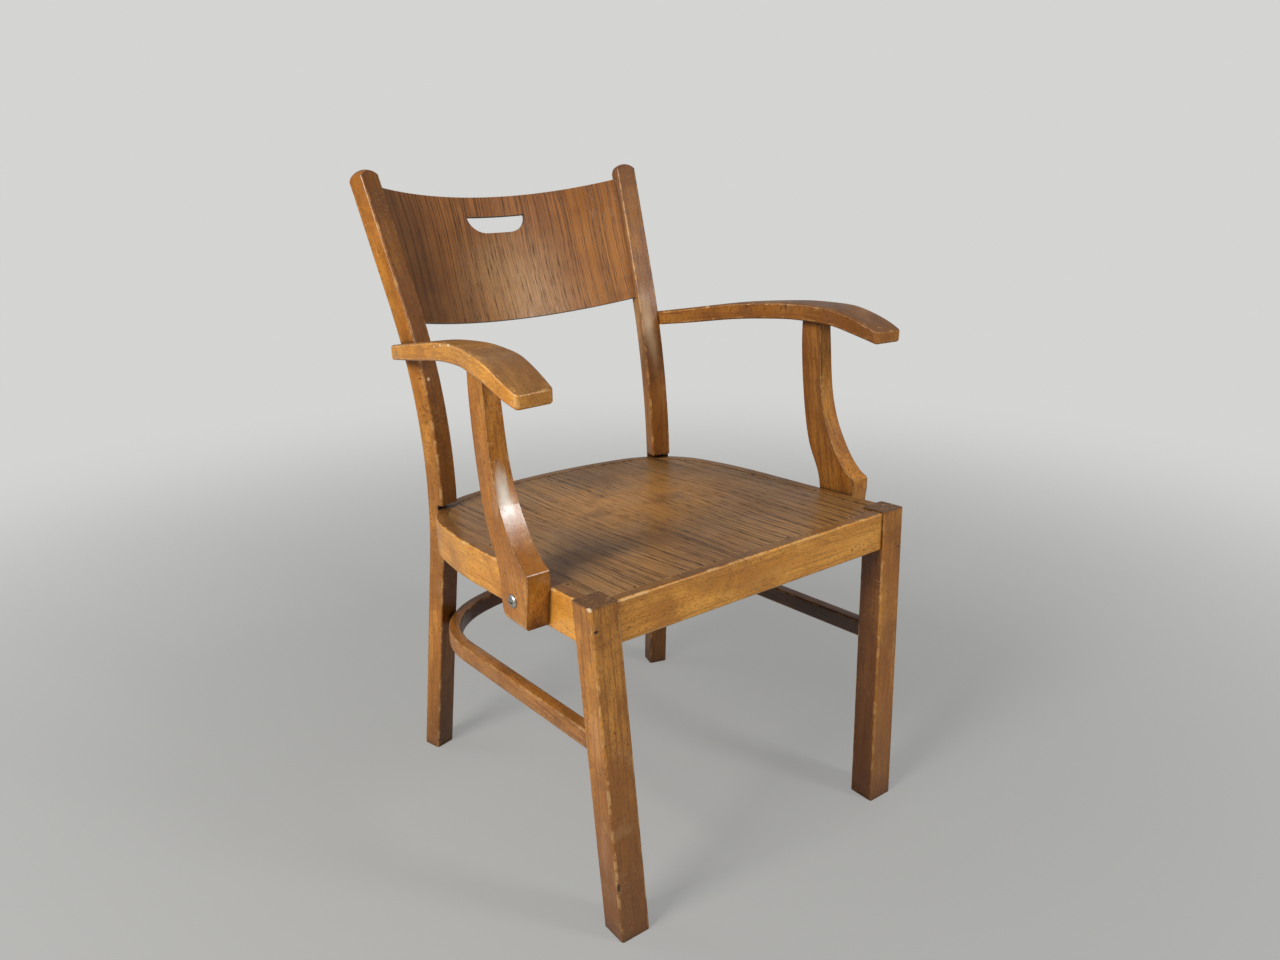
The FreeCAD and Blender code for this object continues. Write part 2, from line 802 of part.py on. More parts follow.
bolt_start = V(bolt_seat, bolt_y, bolt_z)
inward = V(-1, 0, 0)
arm_post_bolts = both_sides([along(bolt_shape, bolt_start, inward)])
bolt_hole_r = bolt_diameter / 2 + bolt_hole_clearance
bolt_holes = both_sides([along(Part.makeCylinder(bolt_hole_r, bolt_grip), bolt_start, inward)])
washer = Part.makeCylinder(washer_diameter / 2, washer_thickness)
washer = washer.cut(Part.makeCylinder(bolt_hole_r, washer_thickness))
washer_start = V(ring_half_width - ring_thickness, bolt_y, bolt_z)
arm_post_washers = both_sides([along(washer, washer_start, inward)])
nut_r = nut_across_flats / math.sqrt(3)
nut_pts = [
    V(nut_r * math.cos(math.radians(60 * k)), nut_r * math.sin(math.radians(60 * k)), 0) for k in range(7)
]
nut = Part.Face(Part.makePolygon(nut_pts)).extrude(V(0, 0, nut_height))
nut = nut.cut(Part.makeCylinder(bolt_diameter / 2, nut_height))
arm_post_nuts = both_sides([along(nut, washer_start + inward * washer_thickness, inward)])

# Screw and plug through each arm into its back post
screw_level = arm_high - arm_side_line[-2][1] - arm_thickness * arm_side_line[-2][2] / 2
side_mid = front_depth(screw_level) + post_depth / 2 / math.cos(high_a)
post_side_point = post_point(0, side_mid, screw_level)
post_inward = post_direction(-1, 0, 0)
probe_length = 60.0
probe = Part.makeLine(post_side_point, post_side_point - post_inward * probe_length)
reach = probe.common(arm_blank).Length
outer_point = post_side_point - post_inward * reach
plug_start = outer_point - post_inward * plug_proud
right_plug = along(Part.makeCylinder(plug_diameter / 2, plug_depth + plug_proud), plug_start, post_inward)
plug_hole = along(
    Part.makeCylinder(plug_diameter / 2, plug_depth + plug_diameter),
    outer_point - post_inward * plug_diameter,
    post_inward,
)
arm_screw_start = outer_point + post_inward * plug_depth
arm_screws = both_sides([along(arm_screw_shape, arm_screw_start, post_inward)])
arm_screw_holes = both_sides([along(arm_screw_hole, arm_screw_start, post_inward)])
arm_plugs = both_sides([right_plug])

# Frame screws: ring to back posts, stretcher to back posts, corner blocks to front legs
frame_screw_places = []
post_mid_x = post_point(-post_width / 2, front_depth(seat_top_front) + post_depth / 2, 0).x
ring_screw_x = post_mid_x - ring_thickness
for level in (-ring_height * 0.35, -ring_height * 0.75):
    point, normal = hoop_normal(ring_spec, ring_screw_x, ring_thickness)
    frame_screw_places.append((
        seat_point(point[0], point[1], level),
        seat_direction(normal[0], normal[1], 0),
    ))
hoop_screw_x = post_point(-post_width, front_depth(hoop_level), hoop_level).x - hoop_thickness * 0.4
point, normal = hoop_normal(hoop_spec, hoop_screw_x, hoop_thickness)
frame_screw_places.append((
    seat_point(point[0], point[1], hoop_mid),
    seat_direction(normal[0], normal[1], 0),
))

# Corner blocks under the front corners of the seat
block_x = ring_half_width - ring_thickness
block_y = rail_setback + rail_thickness
block_top = -block_drop
block_pts = [
    V(block_x, block_y, block_top - block_height),
    V(block_x - block_leg, block_y, block_top - block_height),
    V(block_x, block_y + block_leg, block_top - block_height),
]
block_flat = Part.Face(Part.makePolygon(block_pts + [block_pts[0]])).extrude(V(0, 0, block_height))
corner_block = biggest(seat_place(block_flat).cut(leg_raw))
block_mid = block_top - block_height / 2
half_root = math.sqrt(0.5)
frame_screw_places.append((
    seat_point(block_x - block_leg / 2, block_y + block_leg / 2, block_mid),
    seat_direction(half_root, -half_root, 0),
))
frame_screws = both_sides([along(screw_shape, p, d) for p, d in frame_screw_places])
frame_screw_holes = both_sides([along(screw_hole, p, d) for p, d in frame_screw_places])

# Panel pins through the seat into the ring and the rail
pin = Part.makeCylinder(pin_head_diameter / 2, pin_head_depth)
pin = pin.fuse(Part.makeCylinder(pin_diameter / 2, pin_length))
pin_top = -seat_panel_drop
ledge_mid = (seat_border + ring_thickness) / 2
rail_ledge_mid = rail_setback + (rail_strip + rail_thickness) / 2
side_pin_x = ring_half_width - ledge_mid
side_span = ring_side_end - leg_depth
bow_y = ring_rear - ring_bow_radius
pin_places = []
for share in (-0.82, -0.28, 0.28, 0.82):
    pin_places.append((share * leg_top_inner, rail_ledge_mid))
for side in (-1, 1):
    for share in (0.2, 0.6, 1.0):
        pin_places.append((side * side_pin_x, leg_depth + share * side_span))
for share in (-0.4, 0.0, 0.4):
    px = share * ring_half_width
    pin_places.append((px, bow_y + math.sqrt((ring_bow_radius - ledge_mid) ** 2 - px ** 2)))
seat_pins = [along(pin, seat_point(x, y, pin_top), seat_direction(0, 0, -1)) for x, y in pin_places]

# Holes and housings in every piece
front_leg = cut_all(leg_blank, [rail_dowels[0], rail_dowels[1], rail_dowels[2], rail_dowels[3]])
front_leg = cut_all(front_leg, [stretcher_dowels[0], frame_screw_holes[3]])
front_rail = cut_all(front_rail, rail_dowels + seat_pins)
seat_ring = cut_all(seat_ring, rail_dowels + bolt_holes + frame_screw_holes + seat_pins)
seat_panel = cut_all(seat_panel, seat_pins)
stretcher = cut_all(stretcher, stretcher_dowels + frame_screw_holes)
back_post = cut_all(back_post, frame_screw_holes[:3] + [arm_screw_holes[0]])
arm = cut_all(arm_blank, [arm_dowels[0], arm_dowels[1], plug_hole, arm_screw_holes[0]])
arm_post = cut_all(arm_post_blank, [arm_dowels[0], arm_dowels[1], bolt_holes[0]])
corner_block = corner_block.cut(frame_screw_holes[3])

nodes = {
    "front_leg_left": mirrored(front_leg),
    "front_leg_right": front_leg,
    "back_post_left": mirrored(back_post),
    "back_post_right": back_post,
    "front_rail": front_rail,
    "seat_ring": seat_ring,
    "seat_panel": seat_panel,
    "back_panel": back_panel,
    "arm_left": mirrored(arm),
    "arm_right": arm,
    "arm_post_left": mirrored(arm_post),
    "arm_post_right": arm_post,
    "stretcher_hoop": stretcher,
    "corner_block_left": mirrored(corner_block),
    "corner_block_right": corner_block,
    "rail_dowels": Part.makeCompound(rail_dowels),
    "stretcher_dowels": Part.makeCompound(stretcher_dowels),
    "arm_dowels": Part.makeCompound(arm_dowels),
    "arm_post_bolts": Part.makeCompound(arm_post_bolts),
    "arm_post_washers": Part.makeCompound(arm_post_washers),
    "arm_post_nuts": Part.makeCompound(arm_post_nuts),
    "arm_screws": Part.makeCompound(arm_screws),
    "arm_plugs": Part.makeCompound(arm_plugs),
    "frame_screws": Part.makeCompound(frame_screws),
    "seat_pins": Part.makeCompound(seat_pins),
}

# Centre the chair over the origin and stand it on the floor
bounds = Part.makeCompound(list(nodes.values())).optimalBoundingBox()
shift = V(0, -(bounds.YMin + bounds.YMax) / 2, -bounds.ZMin)
os.makedirs("parts", exist_ok=True)
for name, shape in nodes.items():
    moved = shape.copy()
    moved.translate(shift)
    moved.exportStep("parts/" + name + ".step")
    print(name, len(moved.Solids), moved.isValid(), round(moved.Volume / 1000.0, 1))
print("shift", shift, "size", bounds.XLength, bounds.YLength, bounds.ZLength)
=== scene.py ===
import math

import bmesh
import bpy
import numpy as np
from mathutils import Matrix, Vector


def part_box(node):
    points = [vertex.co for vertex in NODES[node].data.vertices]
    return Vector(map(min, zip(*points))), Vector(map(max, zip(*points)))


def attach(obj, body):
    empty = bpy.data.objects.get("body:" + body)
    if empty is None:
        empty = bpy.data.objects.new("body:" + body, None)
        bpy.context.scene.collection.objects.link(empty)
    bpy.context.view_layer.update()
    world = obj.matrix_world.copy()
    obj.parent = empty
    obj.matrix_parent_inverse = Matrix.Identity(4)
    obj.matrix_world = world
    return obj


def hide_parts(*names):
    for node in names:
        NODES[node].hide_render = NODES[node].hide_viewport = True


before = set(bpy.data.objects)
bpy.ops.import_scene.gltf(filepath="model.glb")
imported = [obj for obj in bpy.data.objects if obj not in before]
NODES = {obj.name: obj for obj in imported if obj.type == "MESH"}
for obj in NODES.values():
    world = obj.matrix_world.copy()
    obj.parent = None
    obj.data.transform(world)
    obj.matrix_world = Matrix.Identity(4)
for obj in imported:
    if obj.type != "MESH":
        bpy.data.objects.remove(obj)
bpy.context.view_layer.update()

# Sizes in metres, angles in degrees
seat_slope = math.radians(3.14)
seat_front_level = 0.4305
middle_line = -0.03

# Seat ring
ring_half_width = 0.253
ring_rear = 0.517
ring_side_end = 0.268
ring_side_radius = 0.700
ring_corner_radius = 0.130
ring_bow_radius = 0.600
ring_thickness = 0.026

# Stretcher hoop
hoop_half_width = 0.242
hoop_rear = 0.538
hoop_side_end = 0.360
hoop_side_radius = 0.700
hoop_corner_radius = 0.160
hoop_bow_radius = 0.400
hoop_thickness = 0.018
hoop_height = 0.0245
hoop_drop = 0.171
hoop_arris = 0.003

# Back
post_turn = math.radians(16.0)
back_rake = math.radians(21.2)
back_radius = 0.405

# Screws, pins, bolts and the stretcher's bar, by the names of their inputs
screw_sizes = {
    "Head radius": 0.0045, "Head depth": 0.003, "Radius": 0.0025, "Length": 0.044, "Pitch": 0.0021,
    "Slot width": 0.001, "Slot depth": 0.0012, "Segments": 24,
}
pin_sizes = {
    "Head radius": 0.002, "Head depth": 0.001, "Radius": 0.0009, "Length": 0.022, "Pitch": 0.0008,
    "Slot width": 0.0004, "Slot depth": 0.0002, "Segments": 16,
}
bolt_sizes = {
    "Head radius": 0.00825, "Head height": 0.0045, "Radius": 0.004, "Length": 0.0723, "Pitch": 0.00125,
    "Thread share": 0.25, "Slot width": 0.002, "Slot depth": 0.0016, "Segments": 48,
}
bar_sizes = {"Thickness": hoop_thickness, "Height": hoop_height, "Arris": hoop_arris, "Arris steps": 4}

# Rounding of the arrises
leg_round = 0.0008
post_round = 0.0006
arm_round = 0.0012
arm_post_round = 0.0024
rail_round = 0.0006
block_round = 0.0006
back_round = 0.0008
seat_round = 0.0007
round_steps = 3

# Limits for joining, flattening and marking faces
join_distance = 0.00001
edge_margin = 0.000001
flat_angle = math.radians(0.4)
sharp_angle = math.radians(38.0)
strip_width = 0.0016
strip_length = 0.006

# How far the seat's own frame lies behind the origin, read from the rear of the stretcher
chair_shift = (
    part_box("stretcher_hoop")[1][1] - hoop_rear * math.cos(seat_slope) + hoop_drop * math.sin(seat_slope)
)


def srgb(red, green, blue):
    """A colour as it is seen, 0 to 255, for a shader."""
    seen = np.array([red, green, blue]) / 255.0
    linear = np.where(seen <= 0.04045, seen / 12.92, ((seen + 0.055) / 1.055) ** 2.4)
    return (*[float(v) for v in linear], 1.0)


# Tint of the faces turned to the chair's middle, painted shade with a darker stain, and the reach above
# which a spot fades slowly
shade = (0.40, 0.34, 0.28, 1.0)
wide_spot = 0.025


class Nodes:
    """Adds and joins the nodes of one tree."""

    def __init__(self, tree):
        self.tree = tree

    def add(self, kind, inputs=None, **settings):
        """One node, with its settings and with values or links for its inputs."""
        made = self.tree.nodes.new(kind)
        for key, value in settings.items():
            setattr(made, key, value)
        for key, value in (inputs or {}).items():
            self.put(made.inputs[key], value)
        return made

    def put(self, socket, value):
        """A link or a plain value for a socket."""
        if isinstance(value, bpy.types.NodeSocket):
            self.tree.links.new(value, socket)
        else:
            socket.default_value = value

    def math(self, operation, a, b=0.0, clamp=False):
        """A sum, product or the like of two values."""
        return self.add("ShaderNodeMath", {0: a, 1: b}, operation=operation, use_clamp=clamp).outputs[0]


class Finish(Nodes):
    """Builds the nodes of one material."""

    def __init__(self, name):
        self.material = bpy.data.materials.new(name)
        self.material.use_nodes = True
        super().__init__(self.material.node_tree)
        self.shader = self.tree.nodes["Principled BSDF"]

    def mix(self, factor, a, b, blend="MIX"):
        """A colour between two colours."""
        made = self.add("ShaderNodeMix", {0: factor, 6: a, 7: b}, data_type="RGBA", blend_type=blend)
        return made.outputs[2]

    def over(self, tone, colour, share, strength):
        """A colour laid over a tone, as far as a share times a strength."""
        return self.mix(self.math("MULTIPLY", share, strength), tone, colour)

    def spread(self, value, low, high, to_low=0.0, to_high=1.0):
        """A value moved smoothly from one range to another."""
        made = self.add(
            "ShaderNodeMapRange",
            {0: value, 1: low, 2: high, 3: to_low, 4: to_high},
            interpolation_type="SMOOTHSTEP",
        )
        return made.outputs[0]

    def stretch(self, source, scale, turn=(0.0, 0.0, 0.0), place=(0.0, 0.0, 0.0)):
        """Coordinates scaled, turned and moved."""
        made = self.add("ShaderNodeMapping", {0: source, 1: place, 2: turn, 3: scale})
        return made.outputs[0]

    def noise(self, source, scale, detail=2.0, roughness=0.5, distortion=0.0):
        """Soft noise from 0 to 1."""
        made = self.add("ShaderNodeTexNoise", {
            "Vector": source, "Scale": scale, "Detail": detail, "Roughness": roughness,
            "Distortion": distortion,
        })
        return made.outputs[0]

    def attribute(self, name, output=2):
        """A value stored on the mesh: output 1 is a vector and 2 a number."""
        return self.add("ShaderNodeAttribute", attribute_name=name).outputs[output]

    def place(self):
        """Where a point lies on the chair, in metres."""
        return self.add("ShaderNodeTexCoord").outputs["Object"]

    def arris(self, radius):
        """0 on flat faces, up to 1 on outer edges within a radius."""
        bevelled = self.add("ShaderNodeBevel", {0: radius}, samples=6).outputs[0]
        true = self.add("ShaderNodeNewGeometry").outputs["Normal"]
        dot = self.add("ShaderNodeVectorMath", {0: bevelled, 1: true}, operation="DOT_PRODUCT")
        return self.spread(dot.outputs["Value"], 0.995, 0.80)

    def corner(self, distance):
        """Painted shade from ambient occlusion: 0 on open faces, up to 1 in inner corners and joints."""
        open_share = self.add("ShaderNodeAmbientOcclusion", {1: distance}, samples=6).outputs["AO"]
        return self.spread(open_share, 0.85, 0.35)

    def spot(self, centre, reach, ragged=0.25):
        """1 at a place on the chair, fading to 0 at a reach along X, Y and Z; wide spots fade slowly."""
        edge = 0.0 if max(reach) > wide_spot else 0.5
        scale = tuple(1.0 / r for r in reach)
        move = tuple(-c / r for c, r in zip(centre, reach))
        local = self.stretch(self.place(), scale, place=move)
        length = self.add("ShaderNodeVectorMath", {0: local}, operation="LENGTH").outputs["Value"]
        rough = self.noise(local, 2.5, 3.0)
        uneven = self.math("MULTIPLY", self.math("SUBTRACT", rough, 0.5), ragged * 2)
        return self.spread(self.math("ADD", length, uneven), 1.0, edge)

    def bump(self, height, distance, strength=1.0, under=None):
        """A normal from a height."""
        inputs = {"Height": height, "Distance": distance, "Strength": strength}
        if under is not None:
            inputs["Normal"] = under
        return self.add("ShaderNodeBump", inputs).outputs[0]


def frame_wood(
    name, wood, wear=0.6, smudges=0.2, feet=0.4, end_share=0.9, top_stain=0.85, inward_shade=0.6,
    marks=(), sheens=(),
):
    """Varnished beech: mottled golden tone, thin streaks, joints darkened by dirt and painted shade, inward
    faces in painted shade, stained tops, worn arrises.
    """
    light, mid, dark, worn, smudge = wood
    f = Finish(name)
    grain = f.attribute("grain", 1)
    place = f.place()
    wave = f.noise(f.stretch(grain, (1.4, 9.0, 9.0)), 3.0, 3.0)
    sideways = f.stretch(f.add("ShaderNodeCombineXYZ", {1: wave, 2: wave}).outputs[0], (0.0, 0.012, 0.012))
    bent = f.add("ShaderNodeVectorMath", {0: grain, 1: sideways}, operation="ADD").outputs[0]
    broad = f.noise(f.stretch(bent, (4.5, 26.0, 26.0)), 1.0, 4.0, 0.6)
    fine = f.noise(f.stretch(bent, (9.0, 300.0, 300.0)), 1.0, 3.0, 0.6)
    flecks = f.noise(f.stretch(bent, (190.0, 1000.0, 1000.0)), 1.0, 1.0)
    cloud = f.noise(place, 11.0, 4.0, 0.65, 0.6)
    tone = f.mix(f.spread(broad, 0.36, 0.64), mid, light)
    umber = f.mix(0.5, mid, dark)
    tone = f.over(tone, umber, f.spread(cloud, 0.42, 0.66), 0.75)
    tone = f.over(tone, umber, f.spread(fine, 0.48, 0.62), 0.65)
    tone = f.over(tone, dark, f.spread(flecks, 0.56, 0.66), 0.55)
    specks = f.noise(f.stretch(grain, (300.0, 520.0, 520.0)), 1.0, 1.0)
    tone = f.over(tone, srgb(44, 24, 10), f.spread(specks, 0.68, 0.74), 0.8)
    hazy = f.noise(place, 19.0, 4.0, 0.65)
    tone = f.over(tone, smudge, f.spread(hazy, 0.56, 0.70), smudges)

    # Darker towards the feet, and dirt with painted shade in a wide band round the joints
    height = f.add("ShaderNodeSeparateXYZ", {0: place}).outputs[2]
    low = f.spread(f.math("ADD", height, f.math("MULTIPLY", cloud, 0.12)), 0.30, 0.04)
    tone = f.over(tone, dark, low, feet)
    dirt_and_shade = srgb(40, 22, 10)
    joint_shade_band = f.math("MULTIPLY", f.corner(0.045), f.spread(cloud, 0.25, 0.60, 0.35, 1.0))
    tone = f.over(tone, dirt_and_shade, joint_shade_band, 0.45)
    # Dirt with painted shade in the narrow corners of the joints
    tone = f.over(tone, dirt_and_shade, f.corner(0.008), 0.8)

    # Arrises: a dark stained line with patches worn to the bare wood
    soft_edge = f.arris(0.007)
    tone = f.over(tone, dark, soft_edge, f.spread(broad, 0.35, 0.60, 0.35, 0.85))
    edge = f.math("MAXIMUM", f.arris(0.0022), f.math("MULTIPLY", f.attribute("strip"), 0.85))
    patchy = f.noise(place, 48.0, 5.0, 0.75)
    edge_wear = f.math("MULTIPLY", edge, f.spread(patchy, 0.46, 0.60))
    tone = f.over(tone, worn, edge_wear, wear)

    # Faces turned to the chair's middle are darker: painted shade, as under the seat, with a darker stain
    inward_shade_share = f.math("MULTIPLY", f.attribute("inward_shade_share"), inward_shade)
    tone = f.over(tone, f.mix(1.0, tone, shade, "MULTIPLY"), inward_shade_share, f.math("SUBTRACT", 1.0, edge_wear))

    # Level tops stained like the seat, and end grain
    tops = f.attribute("top")
    stain = f.mix(f.spread(cloud, 0.35, 0.65), srgb(122, 84, 46), srgb(84, 54, 28))
    tone = f.over(tone, stain, f.math("MULTIPLY", tops, top_stain), f.math("SUBTRACT", 1.0, edge_wear))
    end = f.attribute("end")
    pores = f.noise(place, 420.0, 2.0, 0.6)
    end_tone = f.mix(f.spread(pores, 0.35, 0.65), srgb(58, 38, 22), srgb(112, 78, 46))
    blotch = f.noise(place, 90.0, 3.0, 0.6)
    end_tone = f.over(end_tone, srgb(168, 124, 78), f.spread(blotch, 0.56, 0.66), 0.5)
    tone = f.over(tone, end_tone, end, end_share)

    # Fine scratches, dents and pores
    scratch_wave = f.noise(f.stretch(place, (70.0, 8.0, 200.0), (0.5, 0.9, 0.3)), 1.0, 2.0)
    scratch = f.spread(f.math("ABSOLUTE", f.math("SUBTRACT", scratch_wave, 0.5)), 0.012, 0.0)
    few = f.spread(f.noise(place, 9.0), 0.52, 0.60)
    scratch = f.math("MULTIPLY", scratch, few)
    tone = f.over(tone, worn, scratch, 0.30)
    for centre, reach, colour, strength in marks:
        tone = f.over(tone, colour, f.spot(centre, reach), strength)
    f.put(f.shader.inputs["Base Color"], tone)

    varnish = f.spread(f.noise(place, 23.0, 3.0, 0.6), 0.3, 0.7, 0.22, 0.40)
    varnish = f.math("ADD", varnish, f.math("MULTIPLY", fine, 0.10))
    varnish = f.math("ADD", varnish, f.math("MULTIPLY", edge_wear, 0.10))
    varnish = f.math("ADD", varnish, f.math("MULTIPLY", end, 0.25), clamp=True)
    for centre, reach, strength in sheens:
        polish = f.math("MULTIPLY", f.spot(centre, reach), strength)
        varnish = f.math("SUBTRACT", varnish, polish, clamp=True)
    f.put(f.shader.inputs["Roughness"], varnish)
    dents = f.noise(place, 38.0, 2.0)
    normal = f.bump(dents, 0.0009, 0.55)
    normal = f.bump(fine, 0.00022, 0.5, normal)
    normal = f.bump(f.math("SUBTRACT", 0.0, f.spread(flecks, 0.66, 0.76)), 0.00012, 0.6, normal)
    normal = f.bump(f.math("SUBTRACT", 0.0, scratch), 0.0002, 0.5, normal)
    f.put(f.shader.inputs["Normal"], normal)
    f.shader.inputs["Specular IOR Level"].default_value = 0.5
    f.shader.inputs["Coat Weight"].default_value = 0.25
    f.shader.inputs["Coat Roughness"].default_value = 0.16
    return f.material


def oak_veneer(name, light, mid, dark, pore, sheen_tone, spacing, depth, plies, marks=(), gloss=0.34, figure=0.05):
    """Stained oak veneer: coarse dark pores along the grain, arched figure, ply layers on its edges."""
    f = Finish(name)
    grain = f.attribute("grain", 1)
    place = f.place()
    drift = f.noise(f.stretch(grain, (2.2, 3.4, 0.0)), 1.0, 2.0, 0.5)
    drift = f.math("MULTIPLY", f.math("SUBTRACT", drift, 0.5), figure)
    sway = f.noise(f.stretch(grain, (26.0, 60.0, 0.0)), 1.0, 2.0)
    sway = f.math("MULTIPLY", f.math("SUBTRACT", sway, 0.5), 0.0018)
    parts = f.add("ShaderNodeSeparateXYZ", {0: grain})
    across = f.math("ADD", parts.outputs[1], f.math("ADD", drift, sway))
    lined = f.add("ShaderNodeCombineXYZ", {0: parts.outputs[0], 1: across, 2: parts.outputs[2]}).outputs[0]
    rings = f.noise(f.stretch(lined, (0.9, 1.0 / spacing, 0.0)), 1.0, 2.0, 0.7)
    pores = f.noise(f.stretch(lined, (38.0, 3.2 / spacing, 0.0)), 1.0, 2.0, 0.6)
    hair = f.noise(f.stretch(lined, (7.0, 4.0 / spacing, 0.0)), 1.0, 2.0, 0.65)
    broad = f.noise(f.stretch(grain, (3.0, 7.0, 0.0)), 1.0, 3.0, 0.6)
    tone = f.mix(f.spread(broad, 0.34, 0.66), mid, light)
    early = f.spread(rings, 0.49, 0.58)
    tone = f.over(tone, dark, early, 0.75)
    for centre, reach, colour, strength in marks:
        tone = f.over(tone, colour, f.spot(centre, reach), strength)
    dash_share = f.math("ADD", f.math("MULTIPLY", early, 0.7), 0.3)
    dashes = f.math("MULTIPLY", f.spread(pores, 0.50, 0.62), dash_share)
    tone = f.over(tone, pore, dashes, 0.9)
    tone = f.over(tone, dark, f.spread(hair, 0.50, 0.62), 0.55)
    # Painted sheen in broad hazy patches
    hazy = f.noise(place, 7.0, 4.0, 0.6)
    tone = f.over(tone, sheen_tone, f.spread(hazy, 0.48, 0.68), 0.22)
    blot = f.noise(place, 14.0, 4.0, 0.6)
    tone = f.over(tone, dark, f.spread(blot, 0.55, 0.72), 0.45)
    # Painted sheen along the arrises
    edge = f.arris(0.0018)
    tone = f.over(tone, sheen_tone, edge, 0.35)
    # Painted shade in the corners where the panel meets other parts
    tone = f.over(tone, srgb(30, 18, 10), f.corner(0.010), 0.8)

    # Layers of the ply on its edges
    layer = f.math("MULTIPLY", parts.outputs[2], 2.0 * math.pi * plies / depth)
    layer = f.math("SINE", layer)
    ply = f.mix(f.spread(layer, -0.3, 0.3), srgb(64, 42, 26), srgb(128, 92, 58))
    ply = f.over(ply, srgb(45, 28, 16), f.spread(f.noise(place, 220.0, 3.0), 0.4, 0.7), 0.6)
    tone = f.mix(f.attribute("ply"), tone, ply)
    f.put(f.shader.inputs["Base Color"], tone)
    shine = f.spread(f.noise(place, 16.0, 3.0), 0.3, 0.7, gloss - 0.07, gloss + 0.10)
    shine = f.math("ADD", shine, f.math("MULTIPLY", dashes, 0.22), clamp=True)
    f.put(f.shader.inputs["Roughness"], shine)
    normal = f.bump(f.noise(place, 22.0, 2.0), 0.0009, 0.45)
    normal = f.bump(f.math("SUBTRACT", 0.0, dashes), 0.00022, 0.8, normal)
    normal = f.bump(hair, 0.00016, 0.5, normal)
    f.put(f.shader.inputs["Normal"], normal)
    f.shader.inputs["Coat Weight"].default_value = 0.10
    f.shader.inputs["Coat Roughness"].default_value = 0.25
    return f.material


def bare_wood(name, light, dark):
    """Unvarnished wood for blocks, dowels and plugs."""
    f = Finish(name)
    place = f.place()
    streak = f.noise(f.stretch(place, (90.0, 22.0, 90.0)), 1.0, 4.0, 0.6)
    pores = f.noise(place, 600.0, 2.0, 0.6)
    tone = f.mix(f.spread(streak, 0.35, 0.66), dark, light)
    tone = f.over(tone, dark, f.spread(pores, 0.55, 0.68), 0.5)
    # Painted shade in corners
    tone = f.over(tone, srgb(60, 38, 20), f.corner(0.006), 0.6)
    f.put(f.shader.inputs["Base Color"], tone)
    f.put(f.shader.inputs["Roughness"], f.spread(streak, 0.3, 0.7, 0.55, 0.75))
    f.put(f.shader.inputs["Normal"], f.bump(streak, 0.0003, 0.6))
    return f.material


def worn_steel(name, tone, dull, rough):
    """Steel with fine scratches and dull patches."""
    f = Finish(name)
    place = f.place()
    patch = f.noise(place, 160.0, 4.0, 0.65)
    lines = f.noise(f.stretch(place, (2600.0, 300.0, 300.0)), 1.0, 2.0, 0.6)
    colour = f.mix(f.spread(patch, 0.42, 0.66), tone, dull)
    # Painted shade in corners
    colour = f.over(colour, srgb(30, 26, 22), f.corner(0.002), 0.7)
    f.put(f.shader.inputs["Base Color"], colour)
    patchy = f.spread(patch, 0.3, 0.7, rough - 0.1, rough + 0.18)
    f.put(f.shader.inputs["Roughness"], f.math("ADD", patchy, f.math("MULTIPLY", lines, 0.12)))
    f.put(f.shader.inputs["Normal"], f.bump(lines, 0.00004, 0.6))
    f.shader.inputs["Metallic"].default_value = 1.0
    return f.material


# Meshes of the wooden pieces
def turned_inwards(middle, normal):
    """How far a face is turned to the chair's middle, 0 to 1."""
    inward = Vector((-middle.x, middle_line - middle.y, 0.0)).normalized()
    return min(1.0, max(0.0, (normal.dot(inward) - 0.15) / 0.4))


def new_object(name, mesh):
    """An object at the origin for a mesh."""
    made = bpy.data.objects.new(name, mesh)
    bpy.context.scene.collection.objects.link(made)
    return made


def joined_copy(node, name):
    """A copy of a node's mesh, its loose triangles joined and its flat faces made whole."""
    bm = bmesh.new()
    bm.from_mesh(NODES[node].data)
    bmesh.ops.remove_doubles(bm, verts=bm.verts, dist=join_distance)
    bmesh.ops.dissolve_degenerate(bm, edges=bm.edges, dist=join_distance)
    bmesh.ops.dissolve_limit(bm, angle_limit=flat_angle, verts=bm.verts, edges=bm.edges)
    mesh = bpy.data.meshes.new(name)
    bm.to_mesh(mesh)
    bm.free()
    return new_object(name, mesh)


def settle(made):
    """Bakes an object's modifiers into its mesh."""
    view = bpy.context.evaluated_depsgraph_get()
    mesh = bpy.data.meshes.new_from_object(made.evaluated_get(view))
    made.modifiers.clear()
    old = made.data
    made.data = mesh
    bpy.data.meshes.remove(old)
    mesh.name = made.name


def rounded(made, width):
    """Rounds the sharp edges and keeps the flat faces flat in the shading."""
    made.data.shade_smooth()
    made.data.set_sharp_from_angle(angle=sharp_angle)
    bevel = made.modifiers.new("round", "BEVEL")
    bevel.width = width
    bevel.segments = round_steps
    bevel.limit_method = "ANGLE"
    bevel.angle_limit = sharp_angle
    bevel.use_clamp_overlap = True
    normals = made.modifiers.new("normals", "WEIGHTED_NORMAL")
    normals.keep_sharp = True
    settle(made)


def points(mesh):
    """The corners of a mesh as an array."""
    flat = np.empty(len(mesh.vertices) * 3)
    mesh.vertices.foreach_get("co", flat)
    return flat.reshape(-1, 3)


def put_vector(mesh, name, values):
    """Stores a vector on every corner point."""
    stored = mesh.attributes.new(name, "FLOAT_VECTOR", "POINT")
    stored.data.foreach_set("vector", np.asarray(values, dtype=np.float32).ravel())


def put_share(mesh, name, test):
    """Stores on each face what a test of its middle and normal gives."""
    stored = mesh.attributes.new(name, "FLOAT", "FACE")
    found = [float(test(p.center, p.normal)) for p in mesh.polygons]
    stored.data.foreach_set("value", found)


def follow(values, along, spots=24):
    """The middle of the points beside each place along a piece."""
    low = along.min()
    high = along.max()
    at = []
    middle = []
    for k in range(spots):
        start = low + (high - low) * k / spots
        end = low + (high - low) * (k + 1) / spots
        inside = (along >= start - edge_margin) & (along <= end + edge_margin)
        if inside.sum() > 2:
            at.append((start + end) / 2)
            middle.append((values[inside].min() + values[inside].max()) / 2)
    return np.interp(along, at, middle)


